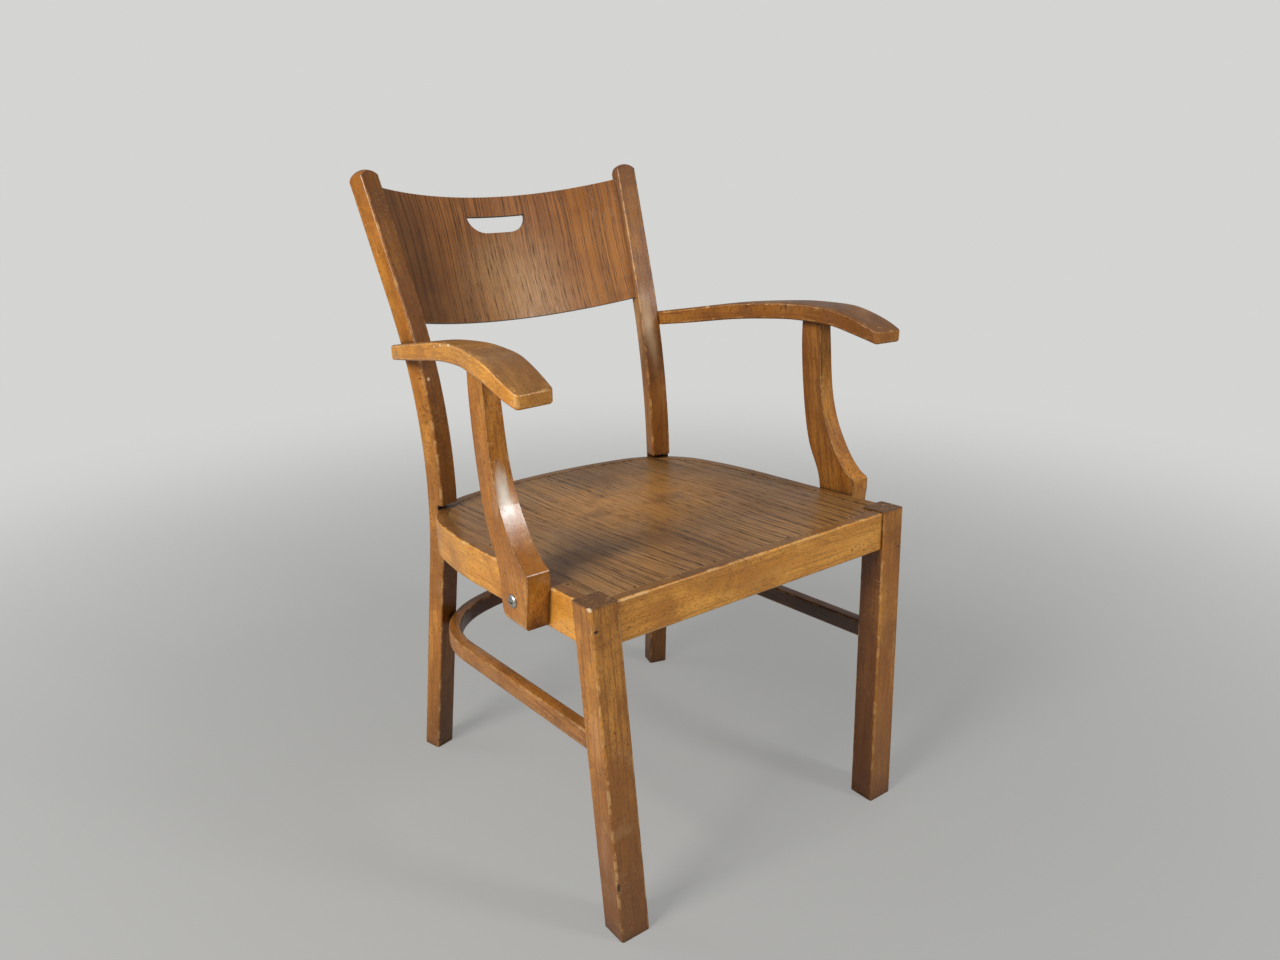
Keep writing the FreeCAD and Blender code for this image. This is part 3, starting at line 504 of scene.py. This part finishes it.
def put_arrises(mesh):
    """Marks the narrow strips that round a piece's long edges."""
    p = points(mesh)
    found = []
    for face in mesh.polygons:
        around = p[list(face.vertices)]
        longest = np.linalg.norm(around - np.roll(around, 1, axis=0), axis=1).max()
        found.append(float(face.area < longest * strip_width and longest > strip_length))
    stored = mesh.attributes.new("strip", "FLOAT", "FACE")
    stored.data.foreach_set("value", found)


def straight_grain(p, axis):
    """Grain along one axis, following a slight lean."""
    others = [k for k in range(3) if k != axis]
    s = p[:, axis]
    out = [s]
    span = s.max() - s.min()
    for k in others:
        lows = s < s.min() + 0.25 * span
        tops = s > s.max() - 0.25 * span
        first = (p[lows, k].min() + p[lows, k].max()) / 2
        last = (p[tops, k].min() + p[tops, k].max()) / 2
        slope = (last - first) / span
        out.append(p[:, k] - first - slope * (s - s.min()))
    return np.stack(out, 1)


def bent_grain(p, axis):
    """Grain that follows a piece's bend along one axis."""
    others = [k for k in range(3) if k != axis]
    s = p[:, axis]
    return np.stack([s] + [p[:, k] - follow(p[:, k], s) for k in others], 1)


def post_grain(p, side):
    """Grain along a back post, turned with its faces."""
    bent = bent_grain(p, 2)
    c = math.cos(post_turn)
    s = math.sin(post_turn) * side
    return np.stack([bent[:, 0], bent[:, 1] * c - bent[:, 2] * s, bent[:, 1] * s + bent[:, 2] * c], 1)


def hoop_line(half, side_end, side_r, corner_r, bow_r, rear, inset, start):
    """Points of a hoop's line: a straight side, an easy curve, a corner and a bow, then the other side."""
    bow_y = rear - bow_r

    def miss(angle):
        x = half - side_r + (side_r - corner_r) * math.cos(angle)
        y = side_end + (side_r - corner_r) * math.sin(angle)
        return math.hypot(x, y - bow_y) - (bow_r - corner_r)

    low = 0.0
    high = 0.9
    for _ in range(50):
        middle = (low + high) / 2
        if miss(low) * miss(middle) <= 0:
            high = middle
        else:
            low = middle
    corner_x = half - side_r + (side_r - corner_r) * math.cos(low)
    corner_y = side_end + (side_r - corner_r) * math.sin(low)
    turn = math.atan2(corner_y - bow_y, corner_x)

    def arc(x, y, radius, first, last, steps):
        angles = [first + (last - first) * k / steps for k in range(1, steps + 1)]
        r = radius - inset
        return [(x + r * math.cos(t), y + r * math.sin(t)) for t in angles]

    line = [(half - inset, start), (half - inset, side_end)]
    line += arc(half - side_r, side_end, side_r, 0.0, low, 8)
    line += arc(corner_x, corner_y, corner_r, low, turn, 14)
    line += arc(0.0, bow_y, bow_r, turn, math.pi / 2, 12)
    return line + [(-x, y) for x, y in reversed(line[:-1])]


def seat_place(flat_points):
    """Points of the flat seat frame moved to the sloped seat."""
    out = []
    for x, v, w in flat_points:
        y = v * math.cos(seat_slope) + w * math.sin(seat_slope) + chair_shift
        z = -v * math.sin(seat_slope) + w * math.cos(seat_slope) + seat_front_level
        out.append((x, y, z))
    return out


def hoop_grain(p, line, level):
    """Grain that runs round a hoop: along its line, across it and up."""
    a = np.array(line)
    steps = a[1:] - a[:-1]
    lengths = np.linalg.norm(steps, axis=1)
    before = np.concatenate([[0.0], np.cumsum(lengths)])[:-1]
    flat = p[:, :2] - np.array([0.0, chair_shift])
    share = ((flat[:, None, :] - a[None, :-1, :]) * steps[None]).sum(2) / (lengths ** 2)[None]
    share = np.clip(share, 0.0, 1.0)
    near = a[None, :-1, :] + share[..., None] * steps[None]
    gap = flat[:, None, :] - near
    distance = np.linalg.norm(gap, axis=2)
    best = distance.argmin(1)
    rows = np.arange(len(p))
    s = before[best] + share[rows, best] * lengths[best]
    cross = steps[best, 0] * gap[rows, best, 1] - steps[best, 1] * gap[rows, best, 0]
    t = np.sign(cross) * distance[rows, best]
    return np.stack([s, t, p[:, 2] - level], 1)


def finish(made, node, material, width, grain, shift, ends=None):
    """Rounds a piece, stores its grain and end faces, and puts it in the node's place."""
    if width is not None:
        rounded(made, width)
    mesh = made.data
    p = points(mesh)
    put_vector(mesh, "grain", grain(p) + np.array([0.0, shift * 1.7, shift * 0.9]))
    if ends is not None:
        axis, reach = ends
        low = p[:, axis].min() + reach
        high = p[:, axis].max() - reach

        def is_end(middle, normal):
            near = middle[axis] < low or middle[axis] > high
            return near and abs(normal[axis]) > 0.7

        put_share(mesh, "end", is_end)
    put_share(mesh, "inward_shade_share", turned_inwards)
    put_arrises(mesh)
    mesh.materials.clear()
    mesh.materials.append(material)
    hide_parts(node)
    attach(made, "root")


# Geometry Nodes
class Tree(Nodes):
    """Builds one Geometry Nodes tree with named sizes."""

    def __init__(self, name, sizes):
        super().__init__(bpy.data.node_groups.new(name, "GeometryNodeTree"))
        face = self.tree.interface
        face.new_socket("Geometry", in_out="INPUT", socket_type="NodeSocketGeometry")
        for key, value in sizes.items():
            kind = "NodeSocketInt" if isinstance(value, int) else "NodeSocketFloat"
            made = face.new_socket(key, in_out="INPUT", socket_type=kind)
            made.default_value = value
        face.new_socket("Material", in_out="INPUT", socket_type="NodeSocketMaterial")
        face.new_socket("Geometry", in_out="OUTPUT", socket_type="NodeSocketGeometry")
        self.start = self.tree.nodes.new("NodeGroupInput")
        self.end = self.tree.nodes.new("NodeGroupOutput")

    def size(self, name):
        """The socket of a named size."""
        return self.start.outputs[name]

    def vector(self, x=0.0, y=0.0, z=0.0):
        """Three values as a vector."""
        return self.add("ShaderNodeCombineXYZ", {0: x, 1: y, 2: z}).outputs[0]

    def moved(self, geometry, z):
        """A shape moved along Z."""
        made = self.add("GeometryNodeTransform", {"Geometry": geometry, "Translation": self.vector(z=z)})
        return made.outputs[0]

    def cut(self, whole, tool):
        """A shape with another removed."""
        made = self.add("GeometryNodeMeshBoolean", {"Mesh 1": whole, "Mesh 2": tool}, operation="DIFFERENCE")
        return made.outputs[0]

    def thread(self, radius, ridge, steps, turns, height):
        """A spiral ridge inside a radius, from Z = 0 upwards."""
        track = self.math("SUBTRACT", radius, ridge)
        spiral = self.add("GeometryNodeCurveSpiral", {
            "Resolution": steps, "Rotations": turns, "Start Radius": track, "End Radius": track,
            "Height": height,
        }).outputs[0]
        profile = self.add("GeometryNodeCurvePrimitiveCircle", {"Resolution": 4, "Radius": ridge}).outputs[0]
        return self.swept(spiral, profile)

    def swept(self, line, section):
        """A closed section carried along a line."""
        made = self.add("GeometryNodeCurveToMesh", {
            "Curve": line, "Profile Curve": section, "Fill Caps": True,
        })
        return made.outputs[0]

    def joined(self, parts):
        """Several shapes as one."""
        one = self.add("GeometryNodeJoinGeometry")
        for part in parts:
            self.tree.links.new(part, one.inputs[0])
        return one.outputs[0]

    def at_points(self, one):
        """Copies of one shape on the mesh's points, its top turned to each point's outward direction."""
        outward = self.add("GeometryNodeInputNamedAttribute", {"Name": "outward"}, data_type="FLOAT_VECTOR")
        turn = self.add("FunctionNodeAlignRotationToVector", {"Vector": outward.outputs[0]}, axis="Z")
        made = self.add("GeometryNodeInstanceOnPoints", {
            "Points": self.start.outputs[0], "Instance": one, "Rotation": turn.outputs[0],
        })
        return made.outputs[0]

    def close(self, geometry):
        """Ends the tree: real geometry with its material."""
        real = self.add("GeometryNodeRealizeInstances", {0: geometry}).outputs[0]
        smooth = self.add("GeometryNodeSetShadeSmooth", {0: real}).outputs[0]
        painted = self.add("GeometryNodeSetMaterial", {0: smooth, "Material": self.size("Material")})
        self.tree.links.new(painted.outputs[0], self.end.inputs[0])


def grow(name, mesh, tree, values, material):
    """Runs a tree on a mesh and keeps the plain mesh that it makes."""
    made = new_object(name, mesh)
    nodes = made.modifiers.new(name, "NODES")
    nodes.node_group = tree.tree
    for item in tree.tree.interface.items_tree:
        if item.in_out == "INPUT" and item.name in values:
            nodes[item.identifier] = values[item.name]
        elif item.in_out == "INPUT" and item.name == "Material":
            nodes[item.identifier] = material
    settle(made)
    return made


def bent_bar_tree():
    """A bar of rounded rectangular section that follows a line."""
    t = Tree("bent_bar", bar_sizes)
    line = t.add("GeometryNodeMeshToCurve", {"Mesh": t.start.outputs[0]}).outputs[0]
    line = t.add("GeometryNodeSetCurveNormal", {"Curve": line}, mode="Z_UP").outputs[0]
    section = t.add("GeometryNodeCurvePrimitiveQuadrilateral", {
        "Width": t.size("Thickness"), "Height": t.size("Height"),
    }).outputs[0]
    section = t.add("GeometryNodeFilletCurve", {
        "Curve": section, "Radius": t.size("Arris"), "Count": t.size("Arris steps"),
    }, mode="POLY").outputs[0]
    t.close(t.swept(line, section))
    return t


def line_mesh(name, line_points):
    """A mesh of one open line."""
    mesh = bpy.data.meshes.new(name)
    mesh.from_pydata(line_points, [(k, k + 1) for k in range(len(line_points) - 1)], [])
    return mesh


def screw_tree():
    """A wood screw at each point: sunk head with a slot, core and thread, with its head outwards."""
    t = Tree("screws", screw_sizes)
    around = t.size("Segments")
    length = t.size("Length")
    head_depth = t.size("Head depth")
    radius = t.size("Radius")
    core = t.math("MULTIPLY", radius, 0.8)
    head = t.add("GeometryNodeMeshCone", {
        "Vertices": around, "Radius Top": t.size("Head radius"), "Radius Bottom": radius,
        "Depth": head_depth,
    }).outputs[0]
    head = t.moved(head, t.math("MULTIPLY", head_depth, -1.0))
    slot_length = t.math("MULTIPLY", t.size("Head radius"), 3.0)
    slot_size = t.vector(slot_length, t.size("Slot width"), t.math("MULTIPLY", t.size("Slot depth"), 2.0))
    head = t.cut(head, t.add("GeometryNodeMeshCube", {"Size": slot_size}).outputs[0])
    shank_length = t.math("SUBTRACT", length, head_depth)
    shank = t.add("GeometryNodeMeshCylinder", {"Vertices": around, "Radius": core, "Depth": shank_length})
    shank = t.moved(shank.outputs[0], t.math("MULTIPLY", t.math("ADD", length, head_depth), -0.5))
    thread_length = t.math("MULTIPLY", shank_length, 0.7)
    ridge = t.math("MULTIPLY", radius, 0.12)
    turns = t.math("DIVIDE", thread_length, t.size("Pitch"))
    thread = t.thread(radius, ridge, 20, turns, thread_length)
    thread = t.moved(thread, t.math("ADD", t.math("MULTIPLY", length, -1.0), ridge))
    t.close(t.at_points(t.joined((head, shank, thread))))
    return t


def bolt_tree():
    """A bolt at each point: domed head with a slot, shank and thread, with its head outwards."""
    t = Tree("bolts", bolt_sizes)
    around = t.size("Segments")
    length = t.size("Length")
    radius = t.size("Radius")
    height = t.size("Head height")
    wide = t.size("Head radius")
    wider = t.math("MULTIPLY", wide, 3.0)
    ball = t.add("GeometryNodeMeshUVSphere", {"Segments": around, "Rings": 32, "Radius": 1.0}).outputs[0]
    dome = t.add("GeometryNodeTransform", {
        "Geometry": ball, "Scale": t.vector(wide, wide, height),
        "Translation": t.vector(z=t.math("MULTIPLY", height, -1.0)),
    }).outputs[0]
    block_size = t.vector(wider, wider, t.math("MULTIPLY", height, 2.0))
    lower = t.add("GeometryNodeMeshCube", {"Size": block_size}).outputs[0]
    lower = t.moved(lower, t.math("MULTIPLY", height, -2.0))
    slot_size = t.vector(t.size("Slot width"), wider, t.math("MULTIPLY", t.size("Slot depth"), 2.0))
    head = t.cut(t.cut(dome, lower), t.add("GeometryNodeMeshCube", {"Size": slot_size}).outputs[0])
    shank_length = t.math("SUBTRACT", length, height)
    thread_length = t.math("MULTIPLY", shank_length, t.size("Thread share"))
    plain_length = t.math("SUBTRACT", shank_length, thread_length)
    plain = t.add("GeometryNodeMeshCylinder", {"Vertices": around, "Radius": radius, "Depth": plain_length})
    plain = t.moved(plain.outputs[0], t.math("SUBTRACT", t.math("MULTIPLY", plain_length, -0.5), height))
    core = t.add("GeometryNodeMeshCylinder", {
        "Vertices": around, "Radius": t.math("MULTIPLY", radius, 0.86), "Depth": thread_length,
    }).outputs[0]
    core = t.moved(core, t.math("SUBTRACT", t.math("MULTIPLY", thread_length, 0.5), length))
    ridge = t.math("MULTIPLY", radius, 0.09)
    turns = t.math("DIVIDE", thread_length, t.size("Pitch"))
    thread = t.thread(radius, ridge, 24, turns, t.math("SUBTRACT", thread_length, ridge))
    thread = t.moved(thread, t.math("SUBTRACT", ridge, length))
    t.close(t.at_points(t.joined((head, plain, core, thread))))
    return t


# Finishes
# Each wood has a light, a middle, a dark, a worn and a smudged tone
cream = srgb(224, 180, 114)
straw = (srgb(242, 172, 72), srgb(222, 148, 54), srgb(136, 80, 28), cream, srgb(216, 166, 104))
golden = (srgb(212, 144, 56), srgb(180, 112, 36), srgb(98, 54, 18), cream, srgb(198, 150, 100))
brownish = (srgb(184, 120, 50), srgb(150, 92, 34), srgb(80, 44, 15), cream, srgb(176, 130, 84))
hole = srgb(22, 12, 6)
chip = srgb(242, 218, 176)

# Marks on single pieces, real ones and painted sheen and shade: place, reach along X, Y and Z, colour and
# strength
near_leg_marks = (
    ((-0.252, -0.3100, 0.4047), (0.004, 0.0022, 0.0022), hole, 0.95),
    ((-0.252, -0.304, 0.268), (0.02, 0.015, 0.05), srgb(196, 146, 106), 0.35),
    ((-0.246, -0.306, 0.118), (0.02, 0.014, 0.06), srgb(190, 138, 100), 0.35),
    ((-0.243, -0.330, 0.078), (0.0025, 0.0025, 0.008), hole, 0.9),
    ((-0.2577, -0.3061, 0.4305), (0.0035, 0.006, 0.003), chip, 0.8),
    ((-0.2166, -0.3048, 0.423), (0.0012, 0.01, 0.010), hole, 0.8),
)
far_leg_marks = (((0.2484, -0.3118, 0.378), (0.0022, 0.02, 0.0022), hole, 0.9),)
rail_marks = (
    ((0.1598, -0.3066, 0.3932), (0.0018, 0.02, 0.0018), hole, 0.9),
    ((0.1836, -0.3070, 0.3872), (0.0018, 0.02, 0.0018), hole, 0.9),
    ((0.02, -0.305, 0.400), (0.07, 0.02, 0.012), srgb(226, 160, 74), 0.4),
)
near_arm_marks = (
    ((-0.2667, -0.0121, 0.6745), (0.004, 0.006, 0.0016), chip, 0.9),
    ((-0.2630, 0.0140, 0.6690), (0.004, 0.004, 0.0014), chip, 0.85),
    ((-0.2725, -0.0449, 0.6805), (0.004, 0.008, 0.0016), chip, 0.85),
    ((-0.2400, -0.2400, 0.665), (0.03, 0.012, 0.03), srgb(208, 150, 84), 0.5),
)
near_arm_post_sheen_and_shade = (
    # Painted highlight of the front light on the front face
    ((-0.272, -0.160, 0.520), (0.013, 0.022, 0.060), srgb(246, 236, 218), 0.85),
    # Painted shade on the lower front of the foot
    ((-0.268, -0.222, 0.378), (0.022, 0.008, 0.022), srgb(52, 26, 10), 0.75),
)
near_post_marks = (((-0.204, 0.164, 0.594), (0.003, 0.01, 0.003), chip, 0.9),)
# Painted pale sheen on the far post's front
far_post_sheen = (((0.196, 0.183, 0.615), (0.014, 0.06, 0.100), srgb(214, 182, 140), 0.60),)
stretcher_hole_and_shadow = (
    ((0.224, -0.200, 0.240), (0.004, 0.0007, 0.02), hole, 0.8),
    # Painted shadow of the seat on the stretcher's right side
    ((0.235, -0.160, 0.236), (0.05, 0.20, 0.06), srgb(26, 16, 9), 0.6),
)
WOOD = {
    "leg_left": frame_wood(
        "near_leg_wood", golden, wear=0.6, smudges=0.35, feet=0.7, inward_shade=0.9, marks=near_leg_marks
    ),
    "leg_right": frame_wood("far_leg_wood", golden, wear=0.4, feet=0.6, inward_shade=0.95, marks=far_leg_marks),
    "rail": frame_wood("rail_wood", straw, wear=0.8, smudges=0.1, feet=0.0, marks=rail_marks),
    # The near arm's lighter straw tone and the far arm's darker golden tone are painted light and shade
    "arm_left": frame_wood(
        "near_arm_wood", straw, wear=0.9, end_share=0.1, top_stain=0.68, inward_shade=0.5, marks=near_arm_marks
    ),
    "arm_right": frame_wood("far_arm_wood", golden, wear=0.7, end_share=0.1, top_stain=0.65, inward_shade=0.6),
    "arm_post_left": frame_wood(
        "near_arm_post_wood", golden, wear=0.5, marks=near_arm_post_sheen_and_shade,
        sheens=(((-0.272, -0.160, 0.52), (0.02, 0.03, 0.07), 0.12),),
    ),
    "arm_post_right": frame_wood("far_arm_post_wood", golden, inward_shade=0.75),
    "post_left": frame_wood(
        "near_post_wood", golden, wear=0.45, feet=0.5, end_share=0.35, inward_shade=0.7, marks=near_post_marks
    ),
    "post_right": frame_wood(
        "far_post_wood", golden, wear=0.3, feet=0.6, end_share=0.35, inward_shade=0.75, marks=far_post_sheen
    ),
    "stretcher": frame_wood(
        "stretcher_wood", brownish, wear=0.3, smudges=0.5, feet=0.0, inward_shade=1.0, marks=stretcher_hole_and_shadow
    ),
}
BACK = oak_veneer(
    "back_oak",
    # Light, middle, dark, pore and painted sheen tones
    srgb(176, 112, 50), srgb(146, 88, 36), srgb(96, 54, 20), srgb(54, 28, 8), srgb(188, 132, 68),
    spacing=0.0036, depth=0.006, plies=2.5,
    marks=(
        # Painted shade on the left of the curved panel
        ((-0.17, 0.24, 0.74), (0.10, 0.14, 0.40), srgb(62, 36, 14), 0.5),
        # Painted sheen in the middle of the panel
        ((0.01, 0.26, 0.69), (0.15, 0.20, 0.14), srgb(208, 160, 100), 0.60),
        # Painted light on the right of the curved panel
        ((0.16, 0.24, 0.75), (0.11, 0.16, 0.20), srgb(204, 140, 70), 0.28),
    ),
)
SEAT = oak_veneer(
    "seat_oak",
    # Light, middle, dark, pore and painted sheen tones
    srgb(172, 124, 70), srgb(146, 104, 58), srgb(98, 66, 34), srgb(44, 26, 12), srgb(176, 138, 92),
    spacing=0.0055, depth=0.009, plies=2.5, gloss=0.30,
    marks=(
        ((-0.185, -0.176, 0.423), (0.085, 0.060, 0.10), srgb(40, 30, 22), 0.52),
        ((-0.125, -0.160, 0.422), (0.085, 0.045, 0.10), srgb(36, 26, 18), 0.50),
        ((-0.045, -0.165, 0.422), (0.11, 0.05, 0.10), srgb(56, 40, 24), 0.36),
        ((0.080, -0.155, 0.422), (0.13, 0.06, 0.10), srgb(66, 46, 28), 0.16),
        # Painted warm sheen in the middle of the seat
        ((0.037, -0.031, 0.414), (0.20, 0.17, 0.10), srgb(222, 154, 70), 0.85),
    ),
)
PALE = bare_wood("dowel_beech", srgb(214, 178, 128), srgb(164, 122, 76))
BLOCK = bare_wood("block_beech", srgb(196, 154, 100), srgb(140, 100, 58))
BRIGHT = worn_steel("bright_steel", srgb(205, 203, 198), srgb(150, 145, 138), 0.30)
DARK = worn_steel("dark_steel", srgb(96, 88, 80), srgb(52, 44, 38), 0.48)

# Wooden pieces that keep their shape
index = 0
for side, sign in (("left", -1), ("right", 1)):
    index += 3
    leg = joined_copy("front_leg_" + side, "dressed_front_leg_" + side)
    finish(
        leg, "front_leg_" + side, WOOD["leg_" + side], leg_round,
        lambda p: straight_grain(p, 2), index, (2, 0.01),
    )
    post = joined_copy("back_post_" + side, "dressed_back_post_" + side)
    finish(
        post, "back_post_" + side, WOOD["post_" + side], post_round,
        lambda p: post_grain(p, sign), index + 1, (2, 0.012),
    )
    arm = joined_copy("arm_" + side, "dressed_arm_" + side)
    finish(
        arm, "arm_" + side, WOOD["arm_" + side], arm_round,
        lambda p: bent_grain(p, 1), index + 2, (1, 0.02),
    )
    put_share(arm.data, "top", lambda middle, normal: normal.z > 0.6)
    carrier = joined_copy("arm_post_" + side, "dressed_arm_post_" + side)
    finish(
        carrier, "arm_post_" + side, WOOD["arm_post_" + side], arm_post_round,
        lambda p: straight_grain(p, 2), index + 20, (2, 0.02),
    )
    block = joined_copy("corner_block_" + side, "dressed_corner_block_" + side)
    finish(block, "corner_block_" + side, BLOCK, block_round, lambda p: straight_grain(p, 0), index + 30)

rail = joined_copy("front_rail", "dressed_front_rail")
finish(rail, "front_rail", WOOD["rail"], rail_round, lambda p: straight_grain(p, 0), 41)
put_share(rail.data, "top", lambda middle, normal: normal.z > 0.9)

ring_line = hoop_line(
    ring_half_width, ring_side_end, ring_side_radius, ring_corner_radius, ring_bow_radius, ring_rear,
    ring_thickness / 2, 0.0,
)
ring = joined_copy("seat_ring", "dressed_seat_ring")
finish(ring, "seat_ring", WOOD["rail"], rail_round, lambda p: hoop_grain(p, ring_line, 0.39), 47)
put_share(ring.data, "top", lambda middle, normal: normal.z > 0.9)

# Stretcher, drawn along its own line
stretcher_start = (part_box("stretcher_hoop")[0][1] - chair_shift) / math.cos(seat_slope) + hoop_height * 0.4
stretcher_line = hoop_line(
    hoop_half_width, hoop_side_end, hoop_side_radius, hoop_corner_radius, hoop_bow_radius, hoop_rear,
    hoop_thickness / 2, stretcher_start,
)
middle_level = -hoop_drop - hoop_height / 2
bar_line = line_mesh("stretcher_line", seat_place([(x, v, middle_level) for x, v in stretcher_line]))
stretcher = grow("dressed_stretcher_hoop", bar_line, bent_bar_tree(), bar_sizes, WOOD["stretcher"])
finish(
    stretcher, "stretcher_hoop", WOOD["stretcher"], None,
    lambda p: hoop_grain(p, stretcher_line, 0.23), 53,
)


# Veneered panels
def back_coordinates(p):
    """Height up the panel, distance round it and depth into it."""
    up = p[:, 1] * math.sin(back_rake) + p[:, 2] * math.cos(back_rake)
    depth = p[:, 1] * math.cos(back_rake) - p[:, 2] * math.sin(back_rake)
    centre = depth[np.abs(p[:, 0]) < 0.02].min() - back_radius
    radius = np.hypot(p[:, 0], depth - centre)
    angle = np.arctan2(p[:, 0], depth - centre)
    return np.stack([up, angle * back_radius, radius - back_radius], 1)


back = joined_copy("back_panel", "dressed_back_panel")
finish(back, "back_panel", BACK, back_round, back_coordinates, 0)


def is_back_edge(middle, normal):
    """True on the thin faces round the back panel."""
    flat = Vector((0.0, math.cos(back_rake), -math.sin(back_rake)))
    out = (Vector((middle.x / back_radius, 0.0, 0.0)) + flat).normalized()
    return abs(normal.dot(out)) < 0.6


put_share(back.data, "ply", is_back_edge)

seat = joined_copy("seat_panel", "dressed_seat_panel")


def seat_coordinates(p):
    """Distance along the seat, across it and depth into it."""
    return np.stack([p[:, 1], p[:, 0], p[:, 2] + p[:, 1] * math.tan(seat_slope)], 1)


finish(seat, "seat_panel", SEAT, seat_round, seat_coordinates, 0)
put_share(seat.data, "ply", lambda middle, normal: abs(normal.z) < 0.6)


# Screws, pins and bolts
def fastener_points(node):
    """The head's middle, the outward direction and the length of each fastener of a node."""
    bm = bmesh.new()
    bm.from_mesh(NODES[node].data)
    bmesh.ops.remove_doubles(bm, verts=bm.verts, dist=join_distance)
    left = set(bm.verts)
    heads = []
    outwards = []
    length = 0.0
    for first in list(bm.verts):
        if first not in left:
            continue
        left.discard(first)
        solid = [first]
        for corner in solid:
            for edge in corner.link_edges:
                other = edge.other_vert(corner)
                if other in left:
                    left.discard(other)
                    solid.append(other)
        p = np.array([corner.co[:] for corner in solid])
        centre = p.mean(0)
        axis = np.linalg.eigh((p - centre).T @ (p - centre))[1][:, 2]
        along = (p - centre) @ axis
        across = np.linalg.norm((p - centre) - along[:, None] * axis, axis=1)
        quarter = (along.max() - along.min()) / 4
        if across[along < along.min() + quarter].max() > across[along > along.max() - quarter].max():
            axis = -axis
            along = -along
        line = centre + axis * along.mean()
        heads.append(line + axis * (along.max() - along.mean()))
        outwards.append(axis)
        length = along.max() - along.min()
    bm.free()
    mesh = bpy.data.meshes.new(node + "_points")
    mesh.from_pydata([tuple(h) for h in heads], [], [])
    put_vector(mesh, "outward", outwards)
    return mesh, float(length)


def fasteners(node, tree, sizes, material):
    """Fresh fasteners at the places of a node's solids."""
    mesh, length = fastener_points(node)
    made = grow("dressed_" + node, mesh, tree, {**sizes, "Length": length}, material)
    made.data.set_sharp_from_angle(angle=sharp_angle)
    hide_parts(node)
    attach(made, "root")


screws = screw_tree()
fasteners("frame_screws", screws, screw_sizes, DARK)
fasteners("arm_screws", screws, screw_sizes, DARK)
fasteners("seat_pins", screws, pin_sizes, DARK)
fasteners("arm_post_bolts", bolt_tree(), bolt_sizes, BRIGHT)

# Dowels, plugs, washers and nuts keep their solids
for node, material in (
    ("rail_dowels", PALE), ("stretcher_dowels", PALE), ("arm_dowels", PALE), ("arm_plugs", PALE),
    ("arm_post_washers", DARK), ("arm_post_nuts", DARK),
):
    NODES[node].data.materials.clear()
    NODES[node].data.materials.append(material)


# Floor, light and camera
backdrop_tone = (0.66, 0.66, 0.65, 1.0)
near_glow = 0.5


def pale_floor():
    """Plain pale floor that keeps the chair's shadow and fades into the backdrop further away."""
    f = Finish("pale_floor")
    f.shader.inputs["Base Color"].default_value = (0.42, 0.42, 0.41, 1.0)
    f.shader.inputs["Roughness"].default_value = 0.9
    f.shader.inputs["Specular IOR Level"].default_value = 0.1
    away = f.add("ShaderNodeVectorMath", {0: f.place()}, operation="LENGTH").outputs["Value"]
    seen = f.add("ShaderNodeLightPath").outputs["Is Camera Ray"]
    far = f.math("MULTIPLY", f.spread(away, 0.5, 2.6, near_glow, 1.0), seen)
    glow_tone = f.mix(f.spread(away, 0.3, 2.2), (0.46, 0.46, 0.45, 1.0), backdrop_tone)
    glow = f.add("ShaderNodeEmission", {0: glow_tone, 1: 1.0}).outputs[0]
    both = f.add("ShaderNodeMixShader", {0: far, 1: f.shader.outputs[0], 2: glow}).outputs[0]
    f.put(f.tree.nodes["Material Output"].inputs["Surface"], both)
    return f.material


half_floor = 30.0
floor_mesh = bpy.data.meshes.new("floor")
floor_mesh.from_pydata(
    [(x * half_floor, y * half_floor, 0) for x, y in ((-1, -1), (1, -1), (1, 1), (-1, 1))],
    [],
    [(0, 1, 2, 3)],
)
floor_mesh.materials.append(pale_floor())
floor = new_object("floor", floor_mesh)


def softbox(name, place, target, size, power, tint=(1.0, 1.0, 1.0)):
    """A square area lamp that looks at a point."""
    lamp = bpy.data.lights.new(name, "AREA")
    lamp.size = size
    lamp.energy = power
    lamp.color = tint
    made = new_object(name, lamp)
    made.location = place
    made.rotation_euler = (Vector(target) - Vector(place)).to_track_quat("-Z", "Y").to_euler()


softbox("key_light", (-2.3, -0.45, 2.0), (0.0, 0.0, 0.45), 1.0, 62.0, (1.0, 0.98, 0.95))
softbox("rear_light", (-1.9, 2.2, 2.4), (0.0, 0.0, 0.5), 1.2, 12.0)
softbox("front_light", (1.0, -2.1, 1.9), (0.0, 0.0, 0.5), 0.45, 21.0)

world = bpy.data.worlds.new("studio")
bpy.context.scene.world = world
world.use_nodes = True
sky = world.node_tree
back_light = sky.nodes["Background"]
back_light.inputs[0].default_value = (0.98, 0.99, 1.0, 1.0)
back_light.inputs[1].default_value = 0.26
backdrop = sky.nodes.new("ShaderNodeBackground")
backdrop.inputs[0].default_value = backdrop_tone
ray = sky.nodes.new("ShaderNodeLightPath")
choice = sky.nodes.new("ShaderNodeMixShader")
sky.links.new(ray.outputs["Is Camera Ray"], choice.inputs[0])
sky.links.new(back_light.outputs[0], choice.inputs[1])
sky.links.new(backdrop.outputs[0], choice.inputs[2])
sky.links.new(choice.outputs[0], sky.nodes["World Output"].inputs["Surface"])

photo_lens = 27.95
camera_place = (-0.7907, -1.1091, 0.8951)
camera_forward = Vector((0.5701, 0.7591, -0.3143)).normalized()
camera_up = Vector((0.1979, 0.2444, 0.9493))
camera = bpy.data.cameras.new("camera")
camera.sensor_width = 36.0
camera.lens = photo_lens
viewer = new_object("camera", camera)
camera_right = camera_forward.cross(camera_up).normalized()
camera_up = camera_right.cross(camera_forward)
turn = Matrix((camera_right, camera_up, -camera_forward)).transposed()
viewer.matrix_world = Matrix.Translation(camera_place) @ turn.to_4x4()
bpy.context.scene.camera = viewer
bpy.context.scene.view_settings.view_transform = "Standard"
